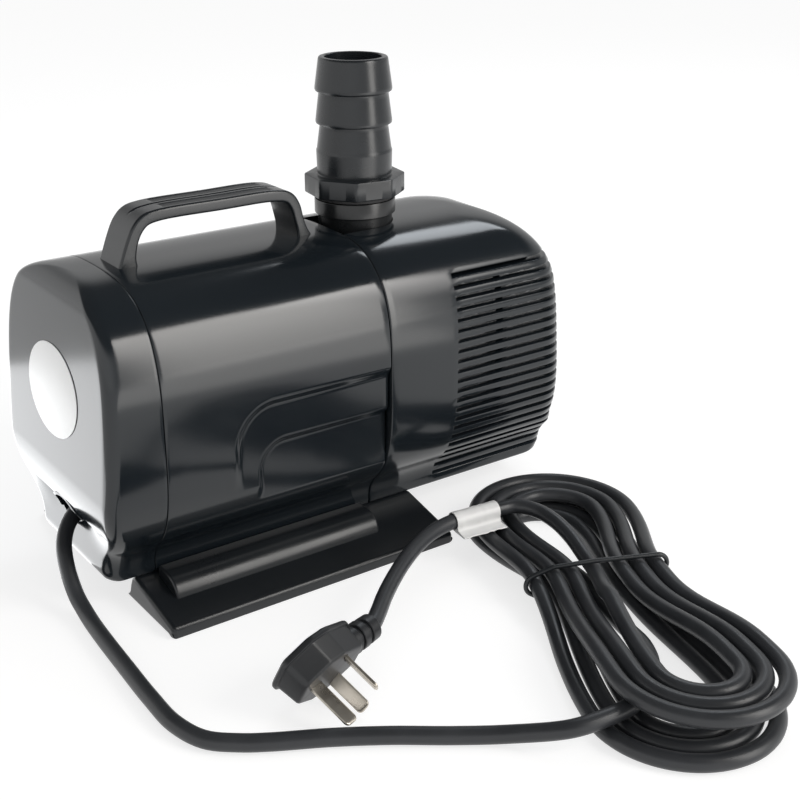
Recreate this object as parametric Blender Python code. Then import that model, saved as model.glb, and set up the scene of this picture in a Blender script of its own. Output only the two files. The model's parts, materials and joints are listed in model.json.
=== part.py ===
"""Fountain submersible pump with its power cord, the CAD source.

Lengths below are millimetres and become metres in place().  x runs from the rear cover to
the strainer and is counted from the rear end of the base, y runs across the pump, z runs up
from the floor.  The built part has its origin under the middle of the pump.
"""
import math

import bmesh
import bpy
import numpy as np
from mathutils import Matrix, Vector

for old in list(bpy.data.objects):
    bpy.data.objects.remove(old, do_unlink=True)

MM = 0.001
MID_X = 116.859
GAP = 0.3
WALL = 3.0

# Body section: a superellipse standing on a narrower plinth.
BODY_HALF_W = 60.0
BODY_HALF_H = 66.0
BODY_MID_Z = 88.0
BODY_POWER = 3.15
PLINTH_HALF_W = 39.2
PLINTH_BOTTOM_Z = 14.6

# Seams between the three shells, and the two end faces.
REAR_SEAM_X = 10.5
FRONT_SEAM_X = 131.5
REAR_FACE_X = -15.5
REAR_FACE_LEAN = 0.08
REAR_FACE_Z = 100.0
REAR_FOOT_X = -9.0
REAR_EDGE_R = 6.0
LABEL_HALF_W = 28.0
LABEL_HALF_H = 22.0
CREASE_Z = 43.0
FRONT_FACE_X = 251.0
FRONT_FACE_LEAN = 0.07
FRONT_FACE_Z = 40.0

# Strainer slots.
SLOT_COUNT = 22
SLOT_TOP_Z = 133.5
SLOT_PITCH = 5.36
SLOT_HEIGHT = 2.2
SLOT_START_X = 172.0

# Stepped side recess of the motor casing: start, top edge, depth plane, corner radius.
RECESS_OUTER = (51.5, 88.0, 57.4, 15.0)
RECESS_INNER = (61.5, 71.5, 54.4, 11.0)

# Carrying handle.
HANDLE_HALF_W = 11.0
HANDLE_TOP_Z = 178.0
HANDLE_THICK = 5.6

# Base.
BASE_LENGTH = 158.0
RAIL_START_X = 11.0
RAIL_END_X = 124.0
BASE_SCREW_X = (36.0, 112.0)
BASE_SCREW_Y = 21.0

# Outlet and hose tail, G1 thread of 2.309 mm pitch.
OUTLET_X = 151.0
COLLAR_TOP_Z = 166.0
FLANGE_BOTTOM_Z = 168.4
FLANGE_TOP_Z = 178.0
FLANGE_FLATS = 46.5
HOSE_TOP_Z = 235.0
HOSE_BORE_R = 14.05
SPIGOT_R = 15.9
COLLAR_BORE_R = 16.8

# Motor and rotor, all round one axis along x.
AXIS_Z = 80.0
CAN_R = 47.5
CAN_REAR_X = 26.0
CAN_FRONT_X = 121.0
WELL_R = 16.0
SHAFT_R = 4.0
SCREW_RING_R = 45.5

# Cord, hank and plug.
CORD_D = 7.5
HANK_STEP = 8.7
HANK_LEVEL = 8.1
HANK_FLOOR_Z = 3.95
HANK_WAIST = 5.5
HANK_FAR_END = (63.0, 16.0)
HANK_NEAR_END = (93.0, 15.0)
HANK_FAN = (6.0, 8.0)
HANK_FOLD_AT = 0.216
HANK_SPOT = (181.0, -159.0)
HANK_DIR = (-0.375, -0.927)
TIE_R = 1.15
PLUG_SPOT = (29.9, -161.6, 17.8)
PLUG_CORD_DIR = (0.955, 0.298, 0.016)
PLUG_PIN_DIR = (0.272, -0.849, -0.452)
PLUG_CORNERS = ((-15.0, 4.5), (-6.0, 9.6), (1.0, 9.6), (14.0, 4.0))
PLUG_ROUND = 4.0


def material(name, colour, rough, metal=0.0):
    """One Principled material."""
    mat = bpy.data.materials.new(name)
    mat.use_nodes = True
    shader = mat.node_tree.nodes["Principled BSDF"]
    shader.inputs["Base Color"].default_value = (*colour, 1.0)
    shader.inputs["Roughness"].default_value = rough
    shader.inputs["Metallic"].default_value = metal
    return mat


def place(points):
    """Millimetres in the pump's measuring frame to metres in the part's frame."""
    arr = np.asarray(points, dtype=float)
    return (arr - np.array([MID_X, 0.0, 0.0])) * MM


def add_mesh(name, points, faces, mat=None, origin=None, cutter=False):
    """Closed mesh object; origin is the point its joint axis passes through."""
    verts = place(points)
    at = place(origin) if origin is not None else np.zeros(3)
    mesh = bpy.data.meshes.new(name)
    mesh.from_pydata([tuple(v) for v in verts - at], [], faces)
    bm = bmesh.new()
    bm.from_mesh(mesh)
    bmesh.ops.remove_doubles(bm, verts=bm.verts, dist=1e-7)
    bmesh.ops.recalc_face_normals(bm, faces=bm.faces)
    bm.to_mesh(mesh)
    bm.free()
    obj = bpy.data.objects.new(name, mesh)
    obj.location = Vector(at)
    bpy.context.scene.collection.objects.link(obj)
    if mat:
        mesh.materials.append(mat)
    if cutter:
        obj.hide_render = True
        obj.display_type = "WIRE"
    return obj


def boolean(target, tool, how):
    """Exact boolean kept as a modifier; the tool is hidden from the build."""
    tool.hide_render = True
    tool.display_type = "WIRE"
    mod = target.modifiers.new(how.lower() + "_" + tool.name, "BOOLEAN")
    mod.operation = how
    mod.solver = "EXACT"
    mod.object = tool


def cut(target, tool):
    boolean(target, tool, "DIFFERENCE")


def join(target, tool):
    boolean(target, tool, "UNION")


def loft(rings, wrap=False):
    """Points and faces of a skin over rings of equal length, capped unless it wraps."""
    count = len(rings[0])
    points = np.concatenate(rings)
    faces = []
    spans = len(rings) if wrap else len(rings) - 1
    for i in range(spans):
        a = i * count
        b = ((i + 1) % len(rings)) * count
        for j in range(count):
            k = (j + 1) % count
            faces.append((a + j, a + k, b + k, b + j))
    if not wrap:
        faces.append(tuple(range(count))[::-1])
        last = (len(rings) - 1) * count
        faces.append(tuple(range(last, last + count)))
    return points, faces


def merge(parts):
    """Several separate closed shapes as the points and faces of one tool."""
    points = []
    faces = []
    shift = 0
    for pts, fcs in parts:
        points.append(np.asarray(pts, dtype=float))
        faces.extend(tuple(i + shift for i in f) for f in fcs)
        shift += len(pts)
    return np.concatenate(points), faces


def box(x0, x1, y0, y1, z0, z1):
    ring = [(y0, z0), (y1, z0), (y1, z1), (y0, z1)]
    return loft([np.array([(x, y, z) for y, z in ring]) for x in (x0, x1)])


def prism_x(outline, x0, x1):
    """Outline of (y, z) pushed along x."""
    return loft([np.array([(x, y, z) for y, z in outline]) for x in (x0, x1)])


def prism_y(outline, y0, y1):
    """Outline of (x, z) pushed along y."""
    return loft([np.array([(x, y, z) for x, z in outline]) for y in (y0, y1)])


def prism_z(outline, z0, z1):
    """Outline of (x, y) pushed along z."""
    return loft([np.array([(x, y, z) for x, y in outline]) for z in (z0, z1)])


def arc(cx, cy, r, start, end, count):
    """Points of a circular arc, angles in degrees."""
    a = np.radians(np.linspace(start, end, count))
    return [(cx + r * math.cos(t), cy + r * math.sin(t)) for t in a]


def turn_x(profile, count, at_y=0.0, at_z=AXIS_Z, phase=0.0):
    """Closed profile of (x, r) turned about an axis along x."""
    rings = []
    for t in np.linspace(0.0, 2.0 * math.pi, count, endpoint=False) + phase:
        ring = [(x, at_y + r * math.cos(t), at_z + r * math.sin(t)) for x, r in profile]
        rings.append(np.array(ring))
    return clean(loft(rings, wrap=True))


def turn_z(profile, count, at_x, at_y=0.0, phase=0.0):
    """Closed profile of (z, r) turned about an upright axis."""
    rings = []
    for t in np.linspace(0.0, 2.0 * math.pi, count, endpoint=False) + phase:
        ring = [(at_x + r * math.cos(t), at_y + r * math.sin(t), z) for z, r in profile]
        rings.append(np.array(ring))
    return clean(loft(rings, wrap=True))


def clean(shape):
    """Drop the faces that fold to nothing where a turned profile touches its axis."""
    points, faces = shape
    keep = []
    for face in faces:
        loop = []
        for i in face:
            if not loop or np.abs(points[i] - points[loop[-1]]).max() > 1e-9:
                loop.append(i)
        if np.abs(points[loop[0]] - points[loop[-1]]).max() < 1e-9:
            loop.pop()
        if len(loop) > 2:
            keep.append(tuple(loop))
    return points, keep


def smooth(x, a, b):
    s = np.clip((x - a) / (b - a), 0.0, 1.0)
    return s * s * (3.0 - 2.0 * s)


def power(v, e):
    return np.sign(v) * np.abs(v) ** e


BEND_Z = 34.0
FOOT_Z = 19.5


def half_width(z, d=0.0):
    """Half width of the body at height z, drawn in by d: superellipse, flare, plinth wall."""
    z = np.asarray(z, dtype=float)
    n = BODY_POWER
    tall = BODY_HALF_H - d

    def oval(h):
        u = np.clip(np.abs(h - BODY_MID_Z) / tall, 0.0, 1.0)
        return (BODY_HALF_W - d) * (1.0 - u ** n) ** (1.0 / n)

    wall = PLINTH_HALF_W - d
    q = np.clip((z - FOOT_Z) / (BEND_Z - FOOT_Z), 0.0, 1.0)
    low = wall + (oval(BEND_Z) - wall) * q * q
    low = low - np.clip(PLINTH_BOTTOM_Z + 1.5 + d - z, 0.0, 1.5)
    return np.where(z < BEND_Z, low, oval(z))


SIDE_T = np.radians(np.linspace(90.0, -44.0, 13))


def body_ring(x, d):
    """Ring of the body section at x, drawn in by d."""
    z = BODY_MID_Z + (BODY_HALF_H - d) * power(np.sin(SIDE_T), 2.0 / BODY_POWER)
    foot = [29.5, 25.0, FOOT_Z, PLINTH_BOTTOM_Z + 1.5 + d, PLINTH_BOTTOM_Z + d]
    z = np.concatenate([z, foot])
    y = half_width(z, d)
    y[0] = 0.0
    ring_y = np.concatenate([y, -y[:0:-1]])
    ring_z = np.concatenate([z, z[:0:-1]])
    return np.column_stack([np.full(len(ring_y), float(x)), ring_y, ring_z])


def body_tube(x0, x1, d):
    return loft([body_ring(x0, d), body_ring(x1, d)])


def end_grid(rows, x_seam, marks, x_end, corner, d):
    """Rows of one end shell: along one side, round the end face and back along the other."""
    sign = 1.0 if x_end(BODY_MID_Z) > x_seam else -1.0
    grid = []
    for z in rows:
        w = float(half_width(z, d))
        top = BODY_MID_Z + BODY_HALF_H - d
        w = 0.0 if z > top - 1e-6 else w
        end = x_end(z + (d if z > BODY_MID_Z else -d)) - sign * d
        r = min(max(corner(z) - d, 1.2), 0.97 * w)
        side = [(x_seam, w)] + [(x, w) for x in marks]
        for phi in np.radians([0.0, 30.0, 60.0, 90.0]):
            side.append((end - sign * r * (1.0 - math.sin(phi)), w - r * (1.0 - math.cos(phi))))
        full = side + [(end, 0.0)] + [(x, -y) for x, y in side[::-1]]
        grid.append([(x, y, z) for x, y in full])
    return np.array(grid)


def end_shell(outer, inner, slot_rows, first):
    """Closed shell between two grids, with open slots in the given rows past column first."""
    rows, cols = outer.shape[:2]
    points = np.concatenate([outer.reshape(-1, 3), inner.reshape(-1, 3)])
    half = rows * cols

    def out(i, j):
        return i * cols + j

    def inn(i, j):
        return half + i * cols + j

    last = cols - 1 - first
    faces = []
    for i in range(rows - 1):
        for j in range(cols - 1):
            if i in slot_rows and first <= j < last:
                for k in (i, i + 1):
                    faces.append((out(k, j), out(k, j + 1), inn(k, j + 1), inn(k, j)))
                continue
            faces.append((out(i, j), out(i, j + 1), out(i + 1, j + 1), out(i + 1, j)))
            faces.append((inn(i, j), inn(i + 1, j), inn(i + 1, j + 1), inn(i, j + 1)))
        ends = (0, cols - 1, first, last) if i in slot_rows else (0, cols - 1)
        for j in ends:
            faces.append((out(i, j), out(i + 1, j), inn(i + 1, j), inn(i, j)))
    faces.append(tuple(out(0, j) for j in range(cols)))
    faces.append(tuple(inn(0, j) for j in range(cols)))
    faces.append((out(0, 0), out(0, cols - 1), inn(0, cols - 1), inn(0, 0)))
    return clean((points, faces))


def rear_face(z):
    return REAR_FACE_X + REAR_FACE_LEAN * (z - REAR_FACE_Z)


def front_face(z):
    return FRONT_FACE_X - FRONT_FACE_LEAN * (z - FRONT_FACE_Z)


BLACK_GLOSS = material("black_gloss_plastic", (0.012, 0.012, 0.013), 0.22)
BLACK_SATIN = material("black_satin_plastic", (0.02, 0.02, 0.021), 0.42)
BLACK_RUBBER = material("black_rubber", (0.022, 0.022, 0.023), 0.6)
DARK_GREY = material("dark_grey_plastic", (0.05, 0.05, 0.055), 0.5)
STEEL = material("stainless_steel", (0.62, 0.62, 0.6), 0.3, 1.0)
NICKEL = material("nickel", (0.6, 0.56, 0.5), 0.3, 1.0)
COPPER = material("copper_winding", (0.6, 0.3, 0.12), 0.4, 1.0)
IRON = material("lamination_steel", (0.3, 0.3, 0.31), 0.45, 1.0)
FERRITE = material("ferrite", (0.06, 0.06, 0.065), 0.55)
CERAMIC = material("ceramic", (0.75, 0.74, 0.7), 0.35)
RESIN = material("potting_resin", (0.03, 0.03, 0.03), 0.4)
WHITE = material("white_film", (0.85, 0.85, 0.84), 0.45)


def rear_end(z):
    """Rear end of the rear cover: leaning face, rounded top, undercut crease over the foot."""
    top = max(z - 144.0, 0.0)
    low = max(62.0 - z, 0.0)
    if z < CREASE_Z:
        foot = max(PLINTH_BOTTOM_Z + 6.0 - z, 0.0)
        return REAR_FOOT_X + 6.0 - math.sqrt(max(36.0 - foot * foot, 0.0))
    x = rear_face(max(z, 62.0))
    x += 10.0 - math.sqrt(max(100.0 - top * top, 0.0))
    return x + 28.0 - math.sqrt(784.0 - low * low)


def rear_corner(z):
    return REAR_EDGE_R


def tab(x_edge, out, rim, inward):
    """Outline of a locating tab: rooted in the wall, stepped in to pass inside the next shell."""
    run = [(-9.0, 2.4), (-0.6, 2.4), (-0.6, 3.8), (6.0, 3.8), (7.0, 4.5), (7.0, 6.0), (-9.0, 6.0)]
    return [(x_edge + out * x, rim + inward * d) for x, d in run]


def side_tabs(x_edge, out, z0, z1):
    """A tab on each flank, where the shell is nearly flat."""
    tabs = []
    for side in (-1.0, 1.0):
        tabs.append(prism_z(tab(x_edge, out, side * BODY_HALF_W, -side), z0, z1))
    return tabs


# Rear cover: shell with the crease over its foot, locating tabs, cord slit.
seam = REAR_SEAM_X - GAP / 2
top_z = BODY_MID_Z + BODY_HALF_H
rows = [14.6, 16.1, 19.5, 24.0, 29.0, 34.0, CREASE_Z - 0.2, CREASE_Z, 47.0, 52.0, 57.0, 62.0, 75.0, 95.0]
rows += [112.0, 125.0, 135.0, 141.5, 146.0, 149.6, 152.0, 153.5, top_z]
deep = [17.6, 19.1, 21.0, 24.5, 29.0, 34.0, CREASE_Z + 2.6, CREASE_Z + 3.0, 48.5, 52.5, 57.0, 62.0, 75.0]
deep += [95.0, 111.0, 123.5, 133.0, 139.0, 143.2, 146.6, 149.0, 150.5, top_z - WALL]


def rear_inner(z):
    return rear_end(z) if z > CREASE_Z + 5.0 else max(rear_end(z), REAR_FOOT_X)


outer = end_grid(rows, seam, (), rear_end, rear_corner, 0.0)
inner = end_grid(deep, seam, (), rear_inner, rear_corner, WALL)
rear_cover = add_mesh("rear_cover", *end_shell(outer, inner, (), 0), BLACK_GLOSS)
tabs = side_tabs(seam, 1.0, 78.0, 98.0) + [prism_y(tab(seam, 1.0, top_z, -1.0), -10.0, 10.0)]
join(rear_cover, add_mesh("tool_rear_tabs", *merge(tabs), cutter=True))
slit = arc(7.0, 39.9, 5.2, -90, 90, 8) + arc(-7.0, 39.9, 5.2, 90, 270, 8)
cut(rear_cover, add_mesh("tool_cord_slit", *prism_x(slit, -30.0, 20.0), cutter=True))

# Rating label: a bare oval film on the leaning rear face.
lean = math.atan(REAR_FACE_LEAN)
face_dir = np.array([-math.cos(lean), 0.0, math.sin(lean)])
up_dir = np.array([math.sin(lean), 0.0, math.cos(lean)])
label_mid = np.array([rear_face(REAR_FACE_Z), 0.0, REAR_FACE_Z])
rings = []
for off in (0.12, 0.42):
    ring = []
    for t in np.linspace(0.0, 2.0 * math.pi, 40, endpoint=False):
        spot = label_mid + face_dir * off + LABEL_HALF_H * math.sin(t) * up_dir
        ring.append(spot + LABEL_HALF_W * math.cos(t) * np.array([0.0, 1.0, 0.0]))
    rings.append(np.array(ring))
rating_label = add_mesh("rating_label", *loft(rings), WHITE)

# Motor casing: tube of the body section with the stepped recess on each side.
x0 = REAR_SEAM_X + GAP / 2
x1 = FRONT_SEAM_X - GAP / 2
motor_casing = add_mesh("motor_casing", *body_tube(x0, x1, 0.0), BLACK_GLOSS)
cut(motor_casing, add_mesh("tool_casing_hollow", *body_tube(0.0, 140.0, WALL), cutter=True))
pad_parts = []
for side in (-1.0, 1.0):
    y0, y1 = sorted((side * 51.4, side * 70.0))
    pad_parts.append(box(RECESS_OUTER[0] - 3.0, x1 - 0.6, y0, y1, 33.0, 91.0))
pads = add_mesh("tool_recess_pads", *merge(pad_parts), cutter=True)
boolean(pads, add_mesh("tool_pad_skin", *body_tube(0.0, 140.0, 1.0), cutter=True), "INTERSECT")
join(motor_casing, pads)
for name, shape in (("outer", RECESS_OUTER), ("inner", RECESS_INNER)):
    start, top, floor, radius = shape
    outline = [(140.0, 20.0), (140.0, top)]
    outline += arc(start + radius, top - radius, radius, 90, 180, 8) + [(start, 20.0)]
    sides = [prism_y(outline, floor, 80.0), prism_y(outline, -80.0, -floor)]
    cut(motor_casing, add_mesh("tool_recess_" + name, *merge(sides), cutter=True))

# Carrying handle, one moulding with the casing: a bar of flat section on flared feet.
mid_z = HANDLE_TOP_Z - HANDLE_THICK / 2
path = [(15.5, 151.8), (18.5, 157.0), (23.5, 164.0), (28.5, 170.0), (32.5, 173.6), (38.0, mid_z)]
path += [(70.0, mid_z + 0.4), (100.0, mid_z), (105.5, 173.4), (108.6, 169.0), (110.6, 162.0)]
path += [(112.0, 156.5), (113.0, 151.8)]
half = np.array([5.2, 3.9, 3.0, 2.9, 2.9, 2.8, 2.8, 2.8, 2.9, 3.0, 3.2, 4.2, 6.4])
path = np.array(path)
run = np.gradient(path, axis=0)
run /= np.linalg.norm(run, axis=1)[:, None]
run[0] = (0.5, 0.866)
run[-1] = (0.17, -0.985)
side_dir = np.column_stack([-run[:, 1], run[:, 0]])
rings = []
for y, d in ((-HANDLE_HALF_W, 1.2), (-HANDLE_HALF_W + 1.2, 0.0), (HANDLE_HALF_W - 1.2, 0.0),
             (HANDLE_HALF_W, 1.2)):
    outer = path + side_dir * (half - d)[:, None]
    inner = path - side_dir * (half - d)[:, None]
    for rim in (outer, inner):
        rim[[0, -1], 1] = 151.8
    loop = np.concatenate([outer, inner[::-1]])
    rings.append(np.array([(px, y, pz) for px, pz in loop]))
handle = add_mesh("tool_handle", *loft(rings), cutter=True)
join(motor_casing, handle)
groove = box(38.0, 101.0, -0.9, 0.9, HANDLE_TOP_Z - 0.5, HANDLE_TOP_Z + 6.0)
insets = [groove]
for side in (-1.0, 1.0):
    y0, y1 = sorted((side * 2.6, side * 8.6))
    insets.append(box(42.0, 98.0, y0, y1, HANDLE_TOP_Z - 0.3, HANDLE_TOP_Z + 6.0))
cut(motor_casing, add_mesh("tool_handle_insets", *merge(insets), cutter=True))

# Screw bosses in the casing floor for the base.
bosses = []
holes = []
for bx in BASE_SCREW_X:
    for by in (-BASE_SCREW_Y, BASE_SCREW_Y):
        bosses.append(turn_z([(16.0, 0.0), (16.0, 5.0), (25.5, 5.0), (25.5, 0.0)], 10, bx, by))
        holes.append(turn_z([(5.0, 0.0), (5.0, 2.2), (23.5, 2.2), (23.5, 0.0)], 10, bx, by))
join(motor_casing, add_mesh("tool_bosses", *merge(bosses), cutter=True))
cut(motor_casing, add_mesh("tool_boss_holes", *merge(holes), cutter=True))


def strainer_end(z):
    """Front end of the strainer: leaning face with a large round at the top, small below."""
    top = min(max(z - 120.0, 0.0), 34.0)
    low = min(max(PLINTH_BOTTOM_Z + 7.0 - z, 0.0), 7.0)
    x = front_face(z) - 34.0 + math.sqrt(34.0 ** 2 - top * top)
    return x - 7.0 + math.sqrt(49.0 - low * low)


def strainer_corner(z):
    return 18.0 if z > 40.0 else 12.0


# Strainer cover: shell whose rows follow the slots, ribs behind the bars, neck opening.
seam = FRONT_SEAM_X + GAP / 2
rows = [14.6, 16.1]
slot_rows = []
for i in range(SLOT_COUNT - 1, -1, -1):
    z = SLOT_TOP_Z - i * SLOT_PITCH
    slot_rows.append(len(rows))
    rows += [z - SLOT_HEIGHT / 2, z + SLOT_HEIGHT / 2]
count = len(rows)
rows += [138.5, 142.5, 146.3, 149.5, 151.8, 153.4, top_z]
deep = [17.6, 18.8] + rows[2:count] + [137.6, 140.8, 144.0, 146.8, 148.9, 150.4, top_z - WALL]
outer = end_grid(rows, seam, (SLOT_START_X,), strainer_end, strainer_corner, 0.0)
inner = end_grid(deep, seam, (SLOT_START_X,), strainer_end, strainer_corner, WALL)
shape = end_shell(outer, inner, slot_rows, 1)
strainer_cover = add_mesh("strainer_cover", *shape, BLACK_GLOSS)
ribs = []
levels = np.array([24.3, 34.0, 46.0, 66.0, 88.0, 108.0, 122.0, 129.8])
for side in (-1.0, 1.0):
    rim = half_width(levels)
    rib = [(side * (w - 1.6), z) for w, z in zip(rim, levels)]
    rib += [(side * (w - 8.0), z) for w, z in zip(rim[::-1], levels[::-1])]
    ribs.append(prism_x(rib, 203.9, 206.7))
rib = [(front_face(112.4) - 1.6, 112.4), (front_face(24.3) - 1.6, 24.3)]
rib += [(front_face(24.3) - 9.0, 24.3), (front_face(112.4) - 9.0, 112.4)]
ribs.append(prism_y(rib, -1.4, 1.4))
join(strainer_cover, add_mesh("tool_ribs", *merge(ribs), cutter=True))
tabs = side_tabs(seam, -1.0, 96.0, 106.0) + [prism_y(tab(seam, -1.0, PLINTH_BOTTOM_Z, 1.0), -9.0, 9.0)]
join(strainer_cover, add_mesh("tool_strainer_tabs", *merge(tabs), cutter=True))
neck = arc(OUTLET_X, 0.0, 19.2, -90, 90, 17) + [(100.0, 19.2), (100.0, -19.2)]
cut(strainer_cover, add_mesh("tool_neck_way", *prism_z(neck, 120.0, 170.0), cutter=True))

# Base: two wedge feet with upstanding rails, joined by a web under the body.
parts_run = []
foot = [(29.2, 0.0), (30.2, 4.0), (32.0, 9.0), (34.6, 12.8), (38.5, 14.2)]
foot += [(73.5, 6.2)] + arc(74.2, 3.6, 2.3, 70, -20, 4) + [(75.0, 0.0)]
rail = [(40.5, 6.0), (40.5, 17.6), (41.5, 18.6)] + arc(49.2, 13.4, 5.2, 90, 8, 6) + [(55.6, 6.0)]
base_stand = add_mesh("base_stand", *box(12.0, 150.0, -36.5, 36.5, 10.6, 14.1), BLACK_SATIN)
for side, label in ((-1.0, "near"), (1.0, "far")):
    wedge = prism_x([(side * y, z) for y, z in foot], 0.0, BASE_LENGTH)
    join(base_stand, add_mesh("tool_foot_" + label, *wedge, cutter=True))
    ridge = prism_x([(side * y, z) for y, z in rail], RAIL_START_X, RAIL_END_X)
    join(base_stand, add_mesh("tool_rail_" + label, *ridge, cutter=True))
pockets = []
under = [(37.5, -2.0), (37.5, 10.6), (44.5, 10.0), (70.5, 4.0), (70.5, -2.0)]
cells = ((3.0, 38.5), (41.0, 77.0), (79.5, 116.0), (118.5, 155.0))
for side in (-1.0, 1.0):
    for px0, px1 in cells:
        pockets.append(prism_x([(side * y, z) for y, z in under], px0, px1))
cut(base_stand, add_mesh("tool_pockets", *merge(pockets), cutter=True))
cut(base_stand, add_mesh("tool_base_holes", *merge(holes), cutter=True))
number = 0
for bx in BASE_SCREW_X:
    for by in (-BASE_SCREW_Y, BASE_SCREW_Y):
        number += 1
        shape = [(7.4, 0.0), (7.4, 2.4), (8.0, 3.5), (10.3, 3.8), (10.3, 1.85), (22.5, 1.85)]
        shape += [(23.0, 0.0)]
        add_mesh("base_screw_%d" % number, *turn_z(shape, 10, bx, by), STEEL)

# Motor can: cup with a rotor well, open at the rear for the stator.
shape = [(36.0, 0.0), (36.0, WELL_R + 1.6), (112.0, WELL_R + 1.6), (112.0, CAN_R - 2.5)]
shape += [(CAN_REAR_X, CAN_R - 2.5), (CAN_REAR_X, CAN_R), (115.0, CAN_R), (115.0, 50.0)]
shape += [(CAN_FRONT_X, 50.0), (CAN_FRONT_X, WELL_R), (46.0, WELL_R), (46.0, 7.2), (39.0, 7.2)]
shape += [(39.0, 0.0)]
motor_can = add_mesh("motor_can", *turn_x(shape, 22), DARK_GREY)
screw_spots = []
for t in np.radians([45.0, 135.0, 225.0, 315.0]):
    screw_spots.append((SCREW_RING_R * math.cos(t), AXIS_Z + SCREW_RING_R * math.sin(t)))
ways = []
for sy, sz in screw_spots:
    ways.append(turn_x([(110.0, 0.0), (110.0, 2.1), (140.0, 2.1), (140.0, 0.0)], 10, sy, sz))
screw_ways = merge(ways)
cut(motor_can, add_mesh("tool_can_ways", *screw_ways, cutter=True))


def star(x0, x1, r_out, r_in, r_slot, count):
    """Laminated ring with winding slots open to its bore."""
    ring = []
    for i in range(count):
        mid = 2.0 * math.pi * i / count
        pitch = 2.0 * math.pi / count
        for frac, rad in ((-0.5, r_in), (-0.26, r_in), (-0.22, r_slot), (0.22, r_slot), (0.26, r_in)):
            ring.append((mid + frac * pitch, rad))
    inner = [(r * math.cos(t), AXIS_Z + r * math.sin(t)) for t, r in ring]
    outer = [(r_out * math.cos(t), AXIS_Z + r_out * math.sin(t)) for t, r in ring]
    rings = []
    for x, outline in ((x0, outer), (x1, outer), (x1, inner), (x0, inner)):
        rings.append(np.array([(x, y, z) for y, z in outline]))
    return loft(rings, wrap=True)


# Stator: laminated core, end turns, and the resin that seals the can.
add_mesh("stator_core", *star(60.0, 100.0, 44.4, 18.2, 33.0, 12), IRON)
shape = [(100.4, 21.0), (100.4, 37.0)] + [(106.5, 37.0), (109.5, 33.0), (109.5, 24.0), (107.0, 21.0)]
add_mesh("winding_front", *turn_x(shape, 18), COPPER)
shape = [(59.6, 21.0), (59.6, 37.0), (53.0, 37.0), (49.0, 33.0), (49.0, 24.0), (52.0, 21.0)]
add_mesh("winding_rear", *turn_x(shape, 18), COPPER)
shape = [(26.4, 0.0), (26.4, 44.6), (34.5, 44.6), (34.5, 0.0)]
potting_cap = add_mesh("potting_cap", *turn_x(shape, 22), RESIN)
shape = [(20.0, 0.0), (20.0, 6.4), (40.0, 6.4), (40.0, 0.0)]
cut(potting_cap, add_mesh("tool_gland_way", *turn_x(shape, 16, 0.0, 43.0), cutter=True))
shape = [(13.0, 4.1), (13.0, 5.4), (20.0, 6.8), (26.0, 6.8), (26.0, 6.0), (34.0, 6.0), (34.0, 0.0)]
shape += [(29.0, 0.0), (29.0, 4.1)]
add_mesh("cord_gland", *turn_x(shape, 16, 0.0, 43.0), BLACK_RUBBER)

# Rotor: magnet, shaft, washer and impeller turn together on the axis.
axis_at = (CAN_FRONT_X, 0.0, AXIS_Z)
bore = SHAFT_R + GAP
shape = [(41.0, 0.0), (41.0, SHAFT_R), (141.0, SHAFT_R), (142.0, SHAFT_R - 1.0), (142.0, 0.0)]
add_mesh("rotor_shaft", *turn_x(shape, 16), STEEL, axis_at)
shape = [(56.0, bore), (56.0, 14.0), (57.0, 15.0), (105.0, 15.0), (106.0, 14.0), (106.0, bore)]
add_mesh("rotor_magnet", *turn_x(shape, 20), FERRITE, axis_at)
shape = [(39.4, bore), (39.4, 6.9), (45.6, 6.9), (45.6, bore)]
add_mesh("rear_bearing", *turn_x(shape, 14), CERAMIC)
shape = [(119.0, bore), (119.0, 6.9), (126.5, 6.9), (126.5, bore)]
add_mesh("front_bearing", *turn_x(shape, 14), CERAMIC)
shape = [(127.2, bore), (127.2, 7.6), (128.4, 7.6), (128.4, bore)]
add_mesh("thrust_washer", *turn_x(shape, 14), CERAMIC, axis_at)
shape = [(128.9, bore), (128.9, 9.0), (131.0, 27.5), (133.5, 28.0), (134.5, 26.0), (136.5, 10.0)]
shape += [(146.5, 7.0), (147.5, 5.0), (147.5, 0.0), (143.0, 0.0), (143.0, bore)]
impeller = add_mesh("impeller", *turn_x(shape, 24), DARK_GREY, axis_at)
vanes = []
for i in range(6):
    for_line = []
    for r in np.linspace(8.0, 27.0, 5):
        t = i * math.pi / 3.0 + 1.1 * (r - 8.0) / 19.0
        for_line.append((r, t))
    left = [((r - 0.0) * math.cos(t) - 0.9 * math.sin(t), r * math.sin(t) + 0.9 * math.cos(t))
            for r, t in for_line]
    right = [(r * math.cos(t) + 0.9 * math.sin(t), r * math.sin(t) - 0.9 * math.cos(t))
             for r, t in for_line]
    outline = [(y, AXIS_Z + z) for y, z in left + right[::-1]]
    vanes.append(prism_x(outline, 132.5, 145.5))
join(impeller, add_mesh("tool_vanes", *merge(vanes), None, axis_at, cutter=True))

# Bearing plate between motor and pump chamber.
shape = [(121.4, 7.2), (121.4, 49.8), (125.2, 49.8), (125.2, 42.6), (123.6, 42.6), (123.6, 39.4)]
shape += [(125.2, 39.4), (125.2, 10.0), (127.0, 10.0), (127.0, 7.2)]
bearing_plate = add_mesh("bearing_plate", *turn_x(shape, 22), DARK_GREY)
cut(bearing_plate, add_mesh("tool_plate_ways", *screw_ways, cutter=True))
shape = [(123.9, 39.8), (123.9, 42.2), (125.2, 42.4), (125.4, 41.0), (125.2, 39.6)]
add_mesh("volute_seal", *turn_x(shape, 22), BLACK_RUBBER)

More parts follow.
